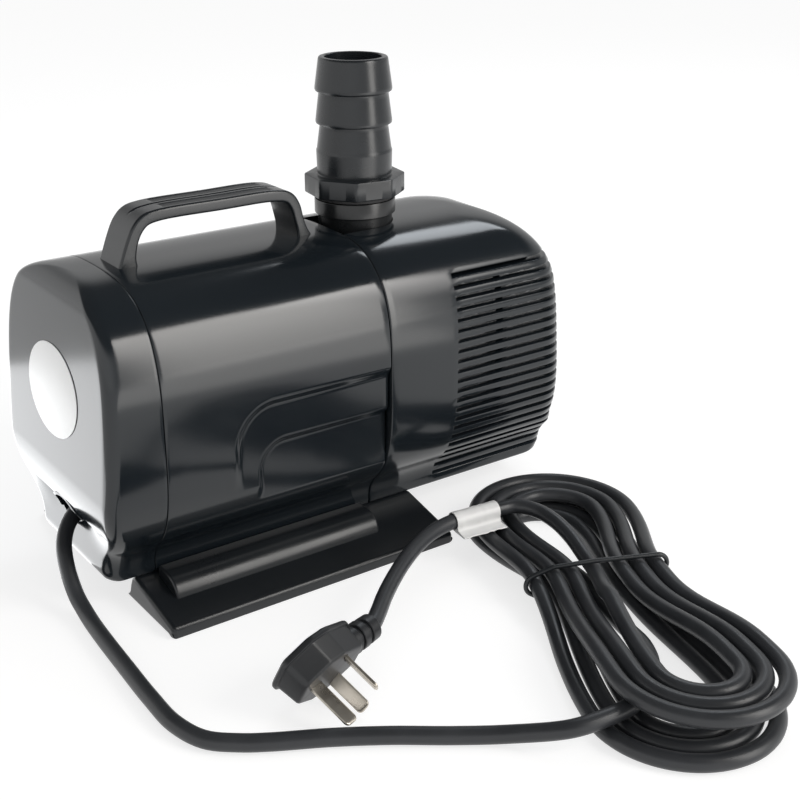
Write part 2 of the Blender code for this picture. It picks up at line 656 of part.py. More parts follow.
# Volute: round chamber with an inlet eye at the front and the threaded outlet collar on top.
shape = [(125.8, 36.0), (125.8, 49.8), (131.0, 49.8), (131.0, 39.5), (164.0, 39.5), (168.0, 35.0)]
shape += [(168.0, 21.0), (176.0, 20.0), (176.0, 17.4), (164.5, 17.4), (164.5, 34.0), (162.5, 36.0)]
volute = add_mesh("volute", *turn_x(shape, 22), BLACK_SATIN)
shape = [(114.0, 0.0), (114.0, 18.7), (158.0, 18.7), (158.6, 20.35), (COLLAR_TOP_Z, 20.35)]
shape += [(COLLAR_TOP_Z, 0.0)]
join(volute, add_mesh("tool_collar", *turn_z(shape, 30, OUTLET_X), cutter=True))
shape = [(100.0, 0.0), (100.0, 14.0), (150.0, 14.0), (150.0, COLLAR_BORE_R), (190.0, COLLAR_BORE_R)]
shape += [(190.0, 0.0)]
cut(volute, add_mesh("tool_outlet_bore", *turn_z(shape, 26, OUTLET_X), cutter=True))
cut(volute, add_mesh("tool_volute_ways", *screw_ways, cutter=True))
number = 0
for sy, sz in screw_spots:
    number += 1
    shape = [(116.0, 0.0), (117.0, 1.75), (131.4, 1.75), (131.4, 3.6), (133.2, 3.6), (134.2, 2.4)]
    shape += [(134.2, 0.0)]
    add_mesh("volute_screw_%d" % number, *turn_x(shape, 10, sy, sz), STEEL)

# Gasket and hose tail, which lift and turn on the outlet axis.
outlet_at = (OUTLET_X, 0.0, COLLAR_TOP_Z)
shape = [(COLLAR_TOP_Z + GAP, 16.9), (COLLAR_TOP_Z + GAP, 20.2), (FLANGE_BOTTOM_Z - GAP, 20.2)]
shape += [(FLANGE_BOTTOM_Z - GAP, 16.9)]
add_mesh("outlet_gasket", *turn_z(shape, 28, OUTLET_X), BLACK_RUBBER, outlet_at)
shape = [(152.5, HOSE_BORE_R), (152.5, SPIGOT_R - 0.8), (153.5, SPIGOT_R), (170.0, SPIGOT_R)]
shape += [(170.0, 18.6), (190.0, 18.9), (190.8, 18.7), (202.4, 16.9), (203.2, 18.7), (204.0, 18.9)]
shape += [(217.9, 17.2), (218.9, 18.9), (220.1, 19.05), (HOSE_TOP_Z - 0.8, 17.1)]
shape += [(HOSE_TOP_Z, 16.6), (HOSE_TOP_Z, HOSE_BORE_R)]
hose_tail = add_mesh("hose_tail", *turn_z(shape, 30, OUTLET_X), BLACK_SATIN, outlet_at)
corner = FLANGE_FLATS / 2 / math.cos(math.pi / 8)
rings = []
for z, r in ((FLANGE_BOTTOM_Z, 15.2), (FLANGE_BOTTOM_Z, corner - 0.6), (FLANGE_BOTTOM_Z + 0.6, corner),
             (FLANGE_TOP_Z - 0.6, corner), (FLANGE_TOP_Z, corner - 0.6), (FLANGE_TOP_Z, 15.2)):
    ring = []
    for i in range(8):
        t = math.radians(-54.5 + 22.5 + 45.0 * i)
        ring.append((OUTLET_X + r * math.cos(t), r * math.sin(t), z))
    rings.append(np.array(ring))
join(hose_tail, add_mesh("tool_octagon", *loft(rings, wrap=True), None, outlet_at, cutter=True))


def hank_loop():
    """Innermost loop of the hank: eased from the waist to a round fold at each end."""
    def half_run(mid, bend):
        u = np.linspace(0.0, mid, 200)
        v = HANK_WAIST + (bend - HANK_WAIST) * (1.0 - np.cos(np.pi * u / mid)) / 2.0
        a = np.linspace(0.0, np.pi / 2, 200)[1:]
        return np.r_[u, mid + bend * np.sin(a)], np.r_[v, bend * np.cos(a)]
    far_u, far_v = half_run(*HANK_FAR_END)
    low_u, low_v = half_run(*HANK_NEAR_END)
    u = np.r_[-far_u, -far_u[::-1][1:], low_u[1:], low_u[::-1][1:]]
    v = np.r_[-far_v, far_v[::-1][1:], low_v[1:], -low_v[::-1][1:]]
    d = np.r_[0.0, np.cumsum(np.hypot(np.diff(u), np.diff(v)))]
    f = np.linspace(0.0, 1.0, 721)
    u = np.interp(f, d / d[-1], u)
    v = np.interp(f, d / d[-1], v)
    du = np.gradient(np.r_[u[-3:-1], u, u[1:3]])[2:-2]
    dv = np.gradient(np.r_[v[-3:-1], v, v[1:3]])[2:-2]
    size = np.hypot(du, dv)
    return f, u, v, -dv / size, du / size


def hank_world(u, v, z):
    """Hank plan coordinates (along, across) and height to the measuring frame."""
    eu = np.array(HANK_DIR) / np.linalg.norm(HANK_DIR)
    ev = np.array([-eu[1], eu[0]])
    xy = np.array(HANK_SPOT) + np.outer(u, eu) + np.outer(v, ev)
    return np.column_stack([xy, z])


def hank_points(per_turn, last=5.9):
    """Six loops, three spiralling out on the floor and three in above them; points crowd in the folds."""
    even = np.linspace(0.0, last, int(round(last * per_turn)) + 1)
    s = even - 0.55 * np.sin(4.0 * np.pi * (even - HANK_FOLD_AT)) / (4.0 * np.pi)
    s = (s - s[0]) * last / (s[-1] - s[0])
    f, bu, bv, nu, nv = hank_loop()
    turn = s % 1.0
    out = HANK_STEP * (3.0 - np.abs(s - 3.0))
    u = np.interp(turn, f, bu) + np.interp(turn, f, nu) * out
    v = np.interp(turn, f, bv) + np.interp(turn, f, nv) * out
    upper = smooth(s, 2.86, 3.10)
    v = v + HANK_FAN[0] * upper * smooth(u, 10.0, 120.0)
    v = v - HANK_FAN[1] * (1.0 - upper) * smooth(-u, 5.0, 95.0)
    ramp = np.where(s > 5.75, 1.0, smooth(u, 15.0, 80.0))
    z = HANK_FLOOR_Z + 2.6 * np.exp(-(u / 28.0) ** 2) + HANK_LEVEL * upper * (1.0 + ramp)
    return hank_world(u, v, z)


def through(points, step):
    """Points about one step apart on a smooth curve through the route points, ends straight."""
    p = np.asarray(points, dtype=float)
    knots = np.r_[0.0, np.cumsum(np.sqrt(np.linalg.norm(np.diff(p, axis=0), axis=1)))]
    ext = np.vstack([2 * p[0] - p[1], p, 2 * p[-1] - p[-2]])
    kx = np.r_[2 * knots[0] - knots[1], knots, 2 * knots[-1] - knots[-2]]
    line = []
    for i in range(1, len(ext) - 2):
        q = np.linspace(kx[i], kx[i + 1], 40, endpoint=False)[:, None]
        a = [((kx[i + j] - q) * ext[i + j - 1] + (q - kx[i + j - 1]) * ext[i + j])
             / (kx[i + j] - kx[i + j - 1]) for j in range(3)]
        b = [((kx[i + j + 1] - q) * a[j] + (q - kx[i + j - 1]) * a[j + 1])
             / (kx[i + j + 1] - kx[i + j - 1]) for j in range(2)]
        line.append(((kx[i + 1] - q) * b[0] + (q - kx[i]) * b[1]) / (kx[i + 1] - kx[i]))
    line = np.vstack(line[1:-1] + [p[-2:-1]])
    d = np.r_[0.0, np.cumsum(np.linalg.norm(np.diff(line, axis=0), axis=1))]
    count = max(4, int(round(d[-1] / step)) + 1)
    at = np.linspace(0.0, d[-1], count)
    inner = np.column_stack([np.interp(at, d, line[:, k]) for k in range(3)])
    return np.vstack([p[:1], inner, p[-1:]])


def tube(name, points, radius, mat, sides, closed=False):
    """Round tube along a poly curve with filled ends."""
    curve = bpy.data.curves.new(name, "CURVE")
    curve.dimensions = "3D"
    curve.bevel_depth = radius * MM
    curve.bevel_resolution = sides
    curve.use_fill_caps = not closed
    spline = curve.splines.new("POLY")
    spots = place(points)
    spline.points.add(len(spots) - 1)
    for point, spot in zip(spline.points, spots):
        point.co = (*spot, 1.0)
    spline.use_cyclic_u = closed
    curve.materials.append(mat)
    obj = bpy.data.objects.new(name, curve)
    bpy.context.scene.collection.objects.link(obj)
    return obj


# Plug frame: e towards the cord, w across, p along the pins.
p_dir = np.array(PLUG_PIN_DIR) / np.linalg.norm(PLUG_PIN_DIR)
e_dir = np.array(PLUG_CORD_DIR)
e_dir = e_dir - p_dir * e_dir.dot(p_dir)
e_dir /= np.linalg.norm(e_dir)
w_dir = np.cross(p_dir, e_dir)


def plug_at(points):
    """Plug coordinates (e, w, p) to the measuring frame."""
    arr = np.asarray(points, dtype=float)
    return np.array(PLUG_SPOT) + arr @ np.array([e_dir, w_dir, p_dir])


# Cord: lead from the gland to the hank, the hank, and the tail to the plug.
hank = hank_points(28)
hank_start = hank[0] - hank[1]
hank_start /= np.linalg.norm(hank_start)
hank_end = hank[-1] - hank[-2]
hank_end /= np.linalg.norm(hank_end)
lead_route = [(28.0, 0.0, 43.0), (18.0, 0.0, 43.0), (8.0, 0.0, 42.6), (-3.5, -0.5, 41.0)]
lead_route += [(-11.5, -2.9, 37.8), (-17.4, -6.6, 34.4), (-21.3, -10.7, 30.6), (-23.6, -14.6, 26.4)]
lead_route += [(-24.8, -19.2, 20.4), (-25.3, -24.4, 14.2), (-25.5, -30.4, 9.2), (-25.5, -37.5, 6.2)]
lead_route += [(-25.9, -46.0, 4.5), (-27.0, -62.0, 4.05), (-28.6, -90.0, 4.05), (-29.8, -115.0, 4.05)]
lead_route += [(-29.6, -137.0, 4.05), (-24.6, -153.0, 4.05), (-14.3, -162.8, 4.05), (-4.5, -169.2, 4.05)]
lead_route += [(16.4, -180.6, 4.05), (36.2, -193.1, 4.05), (56.0, -207.4, 4.05), (73.0, -220.4, 5.2)]
lead_route = np.array(lead_route)
over = hank_world(np.array([107.2, 106.3, 100.0, 88.4, 75.0, 57.0, 36.0, 18.0]),
                  np.array([-54.5, -41.7, -25.8, -13.7, -6.3, -2.2, -3.4, -4.8]),
                  np.array([10.8, 12.2, 12.2, 12.2, 11.6, 9.6, 7.4, 6.7]))
lead_route = np.vstack([lead_route, over, hank[0] + hank_start * (GAP + CORD_D),
                        hank[0] + hank_start * GAP])
lead = through(lead_route, 12.0)
sleeve_in = plug_at([(33.0, 0.0, -7.0), (25.0, 0.0, -7.0)])
tail_route = hank_world(np.array([26.0, 12.0, 0.0, -14.0, -28.0, -41.0, -52.0, -58.4, -57.0, -53.2, -49.4]),
                        np.array([-8.0, -5.0, -3.0, -3.0, -4.5, -8.0, -13.6, -22.6, -33.5, -46.0, -58.5]),
                        np.array([19.6, 16.6, 15.1, 15.7, 18.2, 20.4, 21.4, 21.9, 22.0, 22.0, 22.0]))
tape_from, tape_mid, tape_to = tail_route[-3:]
tail_route = np.vstack([hank[-1] + hank_end * GAP, hank[-1] + hank_end * (GAP + CORD_D), tail_route,
                        [(130.0, -96.2, 21.6), (113.5, -104.0, 20.8), (98.0, -110.5, 20.6),
                         (86.5, -119.6, 20.6), (76.0, -129.2, 20.9), (68.6, -137.8, 21.3)], sleeve_in])
tail = through(tail_route, 8.0)
tube("power_cord_lead", lead, CORD_D / 2, BLACK_RUBBER, 2)
tube("power_cord_hank", hank, CORD_D / 2, BLACK_RUBBER, 1)
tube("power_cord_tail", tail, CORD_D / 2, BLACK_RUBBER, 2)


def least_gap(fine, guard):
    """Least clear distance of a tube to itself, leaving out a stretch next to each point."""
    along = np.r_[0.0, np.cumsum(np.linalg.norm(np.diff(fine, axis=0), axis=1))]
    best = 1e9
    for i in range(len(fine)):
        far = np.abs(along - along[i]) > guard
        best = min(best, np.linalg.norm(fine[far] - fine[i], axis=1).min())
    return best - CORD_D


whole = np.vstack([through(lead_route, 2.5), hank_points(220), through(tail_route, 2.5)])
length = np.linalg.norm(np.diff(whole, axis=0), axis=1).sum()
print("hank least gap mm %.2f" % least_gap(hank_points(220), 60.0))
print("whole cord least gap mm %.2f, length mm %.0f" % (least_gap(whole, 60.0), length))


def taut(centres, radius, count, phase=0.0):
    """Outline pulled tight round circles of one radius: each direction's farthest point."""
    t = (np.arange(count) + phase) * 2.0 * math.pi / count
    way = np.column_stack([np.cos(t), np.sin(t)])
    centres = np.array(centres)
    return centres[np.argmax(way @ centres.T, axis=1)] + radius * way


# Wire tie pulled tight round the waist of the hank.
strands = [(26.8, 6.5), (27.9, 14.7), (-3.0, 15.3), (-23.0, 14.7), (-31.7, 11.6), (-23.0, 6.5)]
wrap = taut(strands, CORD_D / 2 + GAP + TIE_R + 0.05, 36)
tie_line = hank_world(np.full(len(wrap), 1.0), wrap[:, 0], wrap[:, 1])
tube("cord_tie", tie_line, TIE_R, BLACK_SATIN, 1, closed=True)

# White tape flag folded round the tail.
tape_run = tape_to - tape_from
tape_run /= np.linalg.norm(tape_run)
tape_side = np.cross(tape_run, (0.0, 0.0, 1.0))
tape_side /= np.linalg.norm(tape_side)
tape_up = np.cross(tape_side, tape_run)
outline = arc(0.0, 0.0, 4.75, -20, 262, 16) + [(2.5, -5.0), (10.6, -5.2), (10.8, -4.5), (5.6, -3.8)]
rings = []
for along in (-12.5, 12.5):
    ring = [tape_mid + tape_run * along - tape_side * a + tape_up * b for a, b in outline]
    rings.append(np.array(ring))
cord_tape = add_mesh("cord_tape", *loft(rings), WHITE)
rings = []
for along in (-20.0, 20.0):
    ring = [tape_mid + tape_run * along + tape_side * a + tape_up * b
            for a, b in arc(0.0, 0.0, 4.2, 0, 337.5, 16)]
    rings.append(np.array(ring))
cut(cord_tape, add_mesh("tool_tape_bore", *loft(rings), cutter=True))

# Plug: moulded right-angle body with a lipped back, ribbed sleeve and three flat pins.
plug_t = np.linspace(0.0, 2.0 * math.pi, 24, endpoint=False)
corners = list(PLUG_CORNERS) + [(e, -w) for e, w in PLUG_CORNERS]
rings = []
for p, d in ((0.0, 1.0), (-1.0, 0.2), (-11.0, -0.6), (-11.2, -1.9), (-13.2, -1.9), (-14.6, 0.6),
             (-15.2, 3.2)):
    outline = taut(corners, PLUG_ROUND - d, 24, 0.5)
    rings.append(plug_at(np.column_stack([outline, np.full(len(outline), p)])))
plug_body = add_mesh("plug_body", *loft(rings), BLACK_SATIN)
steps = [(11.0, 6.4), (20.6, 6.4), (20.8, 5.2), (22.4, 5.2), (22.6, 6.3), (26.2, 6.3), (26.4, 5.1)]
steps += [(28.0, 5.1), (28.2, 6.1), (33.4, 5.8)]
rings = []
for e, r in steps:
    ring = [(e, r * math.cos(t), -7.0 + r * math.sin(t)) for t in plug_t[::2]]
    rings.append(plug_at(ring))
join(plug_body, add_mesh("tool_sleeve", *loft(rings), cutter=True))
rings = []
for e in (24.6, 50.0):
    rings.append(plug_at([(e, 4.1 * math.cos(t), -7.0 + 4.1 * math.sin(t)) for t in plug_t[::2]]))
cut(plug_body, add_mesh("tool_cord_way", *loft(rings), cutter=True))


def pin_shape(e, w, angle, length, half_w, half_t, root):
    """Flat pin from root to its rounded tip, turned by angle about the pin direction."""
    c = math.cos(math.radians(angle))
    s = math.sin(math.radians(angle))
    rings = []
    for p, hw, ht in ((root, half_w, half_t), (length - 1.6, half_w, half_t),
                      (length - 0.6, half_w - 0.5, half_t - 0.1), (length, half_w - 1.7, half_t - 0.45)):
        flat = [(-hw, -ht), (hw, -ht), (hw, ht), (-hw, ht)]
        rings.append(plug_at([(e + c * a - s * b, w + s * a + c * b, p) for a, b in flat]))
    return loft(rings)


pins = (("plug_pin_earth", -10.3, 0.0, 0.0, 21.0), ("plug_pin_a", 5.0, 7.2, 120.0, 18.0),
        ("plug_pin_b", 5.0, -7.2, 60.0, 18.0))
for name, e, w, angle, size in pins:
    add_mesh(name, *pin_shape(e, w, angle, size, 3.17, 0.78, -5.0), NICKEL)
    seat = pin_shape(e, w, angle, size, 3.47, 1.08, -5.4)
    cut(plug_body, add_mesh("tool_" + name, *seat, cutter=True))
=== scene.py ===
"""Fountain submersible pump with its power cord and plug, dressed for the photograph."""
import json

import bmesh
import bpy
import numpy as np
from mathutils import Matrix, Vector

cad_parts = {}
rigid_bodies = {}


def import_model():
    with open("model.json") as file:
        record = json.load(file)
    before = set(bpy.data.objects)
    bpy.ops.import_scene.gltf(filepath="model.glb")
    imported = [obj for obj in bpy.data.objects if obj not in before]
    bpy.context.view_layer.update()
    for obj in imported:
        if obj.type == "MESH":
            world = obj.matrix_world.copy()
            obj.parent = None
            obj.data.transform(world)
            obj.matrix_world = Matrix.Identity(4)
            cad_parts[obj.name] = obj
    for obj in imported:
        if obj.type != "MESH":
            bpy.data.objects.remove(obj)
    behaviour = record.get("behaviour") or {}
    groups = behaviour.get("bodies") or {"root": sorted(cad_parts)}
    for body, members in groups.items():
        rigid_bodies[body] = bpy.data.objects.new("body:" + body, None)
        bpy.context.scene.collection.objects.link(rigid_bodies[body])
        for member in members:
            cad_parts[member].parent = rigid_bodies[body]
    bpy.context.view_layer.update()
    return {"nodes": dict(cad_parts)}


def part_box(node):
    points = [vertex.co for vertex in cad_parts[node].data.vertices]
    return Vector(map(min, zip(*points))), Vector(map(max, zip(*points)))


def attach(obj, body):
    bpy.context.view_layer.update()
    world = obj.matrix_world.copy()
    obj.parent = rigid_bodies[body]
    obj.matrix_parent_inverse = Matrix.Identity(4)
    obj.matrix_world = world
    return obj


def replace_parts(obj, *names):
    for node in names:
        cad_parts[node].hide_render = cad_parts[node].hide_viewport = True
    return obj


for spare in list(bpy.data.objects):
    bpy.data.objects.remove(spare, do_unlink=True)
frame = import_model()

# Rotor: a turned steel shaft carries a ferrite magnet, a ceramic washer and the moulded impeller.
# It spins in two ceramic bushes, and all of it stays as the CAD solids with their own finishes.
SHAFT_STEEL = (0.56, 0.57, 0.58)
FERRITE_GREY = (0.045, 0.044, 0.047)
BUSH_WHITE = (0.72, 0.70, 0.66)
SCUFF_ROUGHNESS = 0.18


def socketed_group(name, inputs, outputs):
    """Shader node group with the named float or vector inputs and float outputs, and its two ends."""
    tree = bpy.data.node_groups.new(name, "ShaderNodeTree")
    for label, kind, value in inputs:
        socket = tree.interface.new_socket(label, in_out="INPUT", socket_type="NodeSocket" + kind)
        if kind == "Float":
            socket.default_value = value
    for label in outputs:
        tree.interface.new_socket(label, in_out="OUTPUT", socket_type="NodeSocketFloat")
    return tree, tree.nodes.new("NodeGroupInput"), tree.nodes.new("NodeGroupOutput")


def joined(tree, kind, links, **values):
    """One node of a kind, its properties and inputs set and the given sockets linked into it."""
    node = tree.nodes.new(kind)
    for key, value in values.items():
        if key in node.inputs:
            node.inputs[key].default_value = value
        else:
            setattr(node, key, value)
    for key, source in links.items():
        tree.links.new(source, node.inputs[key])
    return node


def ranged(tree, value, low=0.0, high=1.0, to_low=0.0, to_high=1.0, **settings):
    """Socket that carries value from low and high to to_low and to_high, held at both ends."""
    limits = {"From Min": low, "From Max": high, "To Min": to_low, "To Max": to_high}
    return joined(tree, "ShaderNodeMapRange", {"Value": value}, **limits, **settings).outputs["Result"]


def maths(tree, how, *terms):
    """Result of one Math node, whose terms are sockets or plain numbers."""
    node = joined(tree, "ShaderNodeMath", {}, operation=how)
    for socket, term in zip(node.inputs, terms):
        if isinstance(term, float):
            socket.default_value = term
        else:
            tree.links.new(term, socket)
    return node.outputs[0]


vector_in = ("Vector", "Vector", 0)
tooth_group, g_in, g_out = socketed_group(
    "surface_tooth", [vector_in, ("Cloud Scale", "Float", 14.0), ("Tooth Scale", "Float", 900.0)],
    ["Cloud", "Tooth"])
cloud = joined(tooth_group, "ShaderNodeTexNoise", {"Vector": g_in.outputs[0], "Scale": g_in.outputs[1]},
               Detail=4.0, Roughness=0.55)
tooth = joined(tooth_group, "ShaderNodeTexNoise", {"Vector": g_in.outputs[0], "Scale": g_in.outputs[2]},
               Detail=2.0, Roughness=0.6)
tooth_group.links.new(ranged(tooth_group, cloud.outputs["Fac"], 0.32, 0.68), g_out.inputs["Cloud"])
tooth_group.links.new(tooth.outputs["Fac"], g_out.inputs["Tooth"])

scuff_group, g_in, g_out = socketed_group(
    "handling_scuffs", [vector_in, ("Scale", "Float", 60.0), ("Amount", "Float", 0.5)], ["Mask"])
stretch = joined(scuff_group, "ShaderNodeMapping", {"Vector": g_in.outputs[0]},
                 Rotation=(0.3, 0.2, 0.5), Scale=(0.25, 1.6, 1.0))
streak = joined(scuff_group, "ShaderNodeTexNoise", {"Vector": stretch.outputs[0], "Scale": g_in.outputs[1]},
                Detail=6.0, Roughness=0.7)
patch = joined(scuff_group, "ShaderNodeTexNoise", {"Vector": g_in.outputs[0]}, Scale=22.0, Detail=2.0)
thin = ranged(scuff_group, streak.outputs["Fac"], 0.60, 0.74)
where = ranged(scuff_group, patch.outputs["Fac"], 0.48, 0.66)
both = maths(scuff_group, "MULTIPLY", thin, where)
scuff_group.links.new(maths(scuff_group, "MULTIPLY", both, g_in.outputs[2]), g_out.inputs["Mask"])


def finish_of(name, dark, light, rough, metal=0.0, tooth_scale=900.0, bump=0.05, scuffs=0.4,
              cloud_scale=14.0, ior=1.5):
    """Moulded or turned finish: colour clouds from dark to light, roughness follows clouds and scuffs."""
    mat = bpy.data.materials.new(name)
    mat.use_nodes = True
    tree = mat.node_tree
    shader = tree.nodes["Principled BSDF"]
    at = tree.nodes.new("ShaderNodeTexCoord").outputs["Object"]
    scales = {"Cloud Scale": cloud_scale, "Tooth Scale": tooth_scale}
    skin = joined(tree, "ShaderNodeGroup", {"Vector": at}, node_tree=tooth_group, **scales)
    worn = joined(tree, "ShaderNodeGroup", {"Vector": at}, node_tree=scuff_group, Amount=scuffs)
    tint = joined(tree, "ShaderNodeMix", {0: skin.outputs["Cloud"]}, data_type="RGBA")
    tint.inputs[6].default_value = (*dark, 1.0)
    tint.inputs[7].default_value = (*light, 1.0)
    even = ranged(tree, skin.outputs["Cloud"], 0.0, 1.0, *rough)
    relief = joined(tree, "ShaderNodeBump", {"Height": skin.outputs["Tooth"]}, Strength=bump, Distance=0.0002)
    tree.links.new(tint.outputs[2], shader.inputs["Base Color"])
    tree.links.new(maths(tree, "MULTIPLY_ADD", worn.outputs["Mask"], SCUFF_ROUGHNESS, even),
                   shader.inputs["Roughness"])
    tree.links.new(relief.outputs[0], shader.inputs["Normal"])
    shader.inputs["Metallic"].default_value = metal
    shader.inputs["IOR"].default_value = ior
    return mat


def dress(mat, *names):
    """The finish on CAD nodes that stay as they are."""
    for label in names:
        frame["nodes"][label].data.materials.clear()
        frame["nodes"][label].data.materials.append(mat)


turned_steel = finish_of("turned_steel", SHAFT_STEEL, (0.64, 0.64, 0.64), (0.22, 0.32), metal=1.0,
                         tooth_scale=2500.0, bump=0.08)
dress(turned_steel, "rotor_shaft")
dress(finish_of("sintered_ferrite", FERRITE_GREY, (0.07, 0.068, 0.07), (0.5, 0.62), tooth_scale=1400.0,
                bump=0.25), "rotor_magnet")
dress(finish_of("bush_ceramic", BUSH_WHITE, (0.78, 0.77, 0.74), (0.25, 0.35), tooth_scale=1800.0),
      "rear_bearing", "front_bearing", "thrust_washer")
dress(finish_of("impeller_plastic", (0.03, 0.03, 0.033), (0.045, 0.045, 0.05), (0.38, 0.5)), "impeller")

# Motor: a moulded can holds the laminated core and its copper end turns, sealed with black resin.
# The cord enters through a rubber gland set in the resin.
dress(finish_of("can_plastic", (0.035, 0.036, 0.04), (0.05, 0.05, 0.055), (0.4, 0.52)),
      "motor_can", "bearing_plate")
dress(finish_of("enamelled_copper", (0.42, 0.17, 0.06), (0.62, 0.30, 0.12), (0.3, 0.42), metal=1.0,
                tooth_scale=700.0, bump=0.6), "winding_front", "winding_rear")
dress(finish_of("cast_resin", (0.016, 0.016, 0.017), (0.03, 0.03, 0.03), (0.16, 0.3),
                tooth_scale=300.0, bump=0.08), "potting_cap")
gland_rubber = finish_of("gland_rubber", (0.014, 0.014, 0.015), (0.024, 0.024, 0.026), (0.55, 0.68),
                         tooth_scale=1200.0, bump=0.2)
dress(gland_rubber, "cord_gland", "volute_seal")
core_steel = finish_of("stacked_laminations", (0.20, 0.20, 0.21), (0.32, 0.32, 0.33), (0.35, 0.5),
                       metal=1.0)
tree = core_steel.node_tree
sheets = joined(tree, "ShaderNodeTexWave", {"Vector": tree.nodes["Texture Coordinate"].outputs["Object"]},
                Scale=320.0, bands_direction="X")
tree.links.new(sheets.outputs["Fac"], tree.nodes["Bump"].inputs["Height"])
tree.nodes["Bump"].inputs["Strength"].default_value = 0.5
dress(core_steel, "stator_core")

# Volute: the moulded pump chamber with an inlet eye in front and the outlet collar on top, which
# stands out of the strainer's neck.  Four steel screws hold it to the motor, four more the base.
WALL = 3.0
OUTLET_X = 151.0
AXIS_Z = 80.0
SCREW_CIRCLE_R, SCREW_WAY_R = 45.5, 2.1
BASE_REAR = np.array([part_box("base_stand")[0][0], 0.0, 0.0])


def circle(count):
    """Angles evenly spread over one full turn."""
    return np.linspace(0.0, 2.0 * np.pi, count, endpoint=False)


def unit(v):
    """Vectors, along the last axis, divided by their own length."""
    return v / np.linalg.norm(v, axis=-1, keepdims=True)


def ring_quads(rows, cols, wrap_rows=False, wrap_cols=True):
    """Quads of a rows by cols grid of points, closed on itself where it wraps."""
    index = np.arange(rows * cols).reshape(rows, cols)
    if wrap_rows:
        index = np.vstack([index, index[:1]])
    if wrap_cols:
        index = np.hstack([index, index[:, :1]])
    corners = (index[:-1, :-1], index[:-1, 1:], index[1:, 1:], index[1:, :-1])
    return np.stack(corners, axis=-1).reshape(-1, 4)


def cleaned(mesh, sharp, outward):
    """Doubles merged and empty faces dissolved; shading is smooth but for edges past the angle sharp."""
    bm = bmesh.new()
    bm.from_mesh(mesh)
    bmesh.ops.remove_doubles(bm, verts=bm.verts, dist=2e-6)
    bmesh.ops.dissolve_degenerate(bm, edges=bm.edges, dist=1e-6)
    if outward:
        bmesh.ops.recalc_face_normals(bm, faces=bm.faces)
    bm.to_mesh(mesh)
    bm.free()
    mesh.polygons.foreach_set("use_smooth", np.ones(len(mesh.polygons), dtype=bool))
    mesh.set_sharp_from_angle(angle=np.radians(sharp))


def surface(name, points, mat, sharp=35.0, wrap_rows=False, quads=None, uv=None):
    """Mesh object from points in millimetres from the base's rear end, its faces turned outward; without
    quads of their own the points are a grid that closes round its columns."""
    if quads is None:
        quads = ring_quads(*points.shape[:2], wrap_rows)
    mesh = bpy.data.meshes.new(name)
    spots = points.reshape(-1, 3) * 0.001 + BASE_REAR
    mesh.vertices.add(len(spots))
    mesh.vertices.foreach_set("co", spots.ravel())
    mesh.loops.add(quads.size)
    mesh.loops.foreach_set("vertex_index", quads.ravel().astype(np.int32))
    mesh.polygons.add(len(quads))
    mesh.polygons.foreach_set("loop_start", np.arange(0, quads.size, 4, dtype=np.int32))
    mesh.update(calc_edges=True)
    if uv is not None:
        mesh.uv_layers.new(name="along").data.foreach_set("uv", uv.ravel())
    cleaned(mesh, sharp, True)
    if mat:
        mesh.materials.append(mat)
    obj = bpy.data.objects.new(name, mesh)
    bpy.context.scene.collection.objects.link(obj)
    return obj


def worked(obj, tools, sharp=35.0):
    """Booleans of (tool, how) done on the object one after another; its mesh is kept, the tools go."""
    for tool, how in tools:
        mod = obj.modifiers.new(tool.name, "BOOLEAN")
        mod.operation = how
        mod.solver = "EXACT"
        mod.object = tool
    shaped = obj.evaluated_get(bpy.context.evaluated_depsgraph_get())
    old, obj.data = obj.data, bpy.data.meshes.new_from_object(shaped)
    obj.modifiers.clear()
    bpy.data.meshes.remove(old)
    obj.data.name = obj.name
    for tool, _ in tools:
        bpy.data.objects.remove(tool, do_unlink=True)
    cleaned(obj.data, sharp, False)


def turned(name, profile, count, mat, along="z", at=(OUTLET_X, 0.0, 0.0), radius=None, sharp=35.0):
    """Closed profile of (height, r) carried round an axis: spot = at + height along it + r across.
    radius may give r for each angle and profile point where the piece isn't round."""
    profile = np.asarray(profile, dtype=float)
    angle = circle(count)[:, None]
    r = np.broadcast_to(profile[:, 1], (count, len(profile))) if radius is None else radius(angle)
    up = np.broadcast_to(profile[:, 0], r.shape)
    first, second = r * np.cos(angle), r * np.sin(angle)
    axes = (first, second, up) if along == "z" else (up, first, second)
    points = np.stack(axes, axis=-1) + np.array(at)
    return surface(name, points, mat, sharp, True)


volute_plastic = finish_of("volute_plastic", (0.010, 0.011, 0.012), (0.017, 0.018, 0.019),
                           (0.22, 0.32))
chamber = [(125.8, 36.0), (125.8, 49.8), (131.0, 49.8), (131.0, 39.5), (164.0, 39.5), (166.0, 38.6),
           (168.0, 35.0), (168.0, 21.0), (176.0, 20.0), (176.0, 17.4), (164.5, 17.4), (164.5, 34.0),
           (162.5, 36.0)]
volute = turned("volute_chamber", chamber, 96, volute_plastic, "x", (0.0, 0.0, AXIS_Z))
collar = [(114.0, 0.0), (114.0, 18.7), (157.6, 18.7), (158.2, 18.9), (158.6, 20.0), (158.9, 20.35),
          (165.5, 20.35), (165.9, 20.15), (166.0, 19.8), (166.0, 0.0)]
collar = turned("collar_tool", collar, 128, None)
bore = [(100.0, 0.0), (100.0, 14.0), (150.0, 14.0), (150.0, 16.8), (165.2, 16.8), (166.2, 17.8),
        (190.0, 17.8), (190.0, 0.0)]
ways = [(turned("bore_tool", bore, 96, None), "DIFFERENCE")]
screw_way = [(110.0, 0.0), (110.0, SCREW_WAY_R), (140.0, SCREW_WAY_R), (140.0, 0.0)]
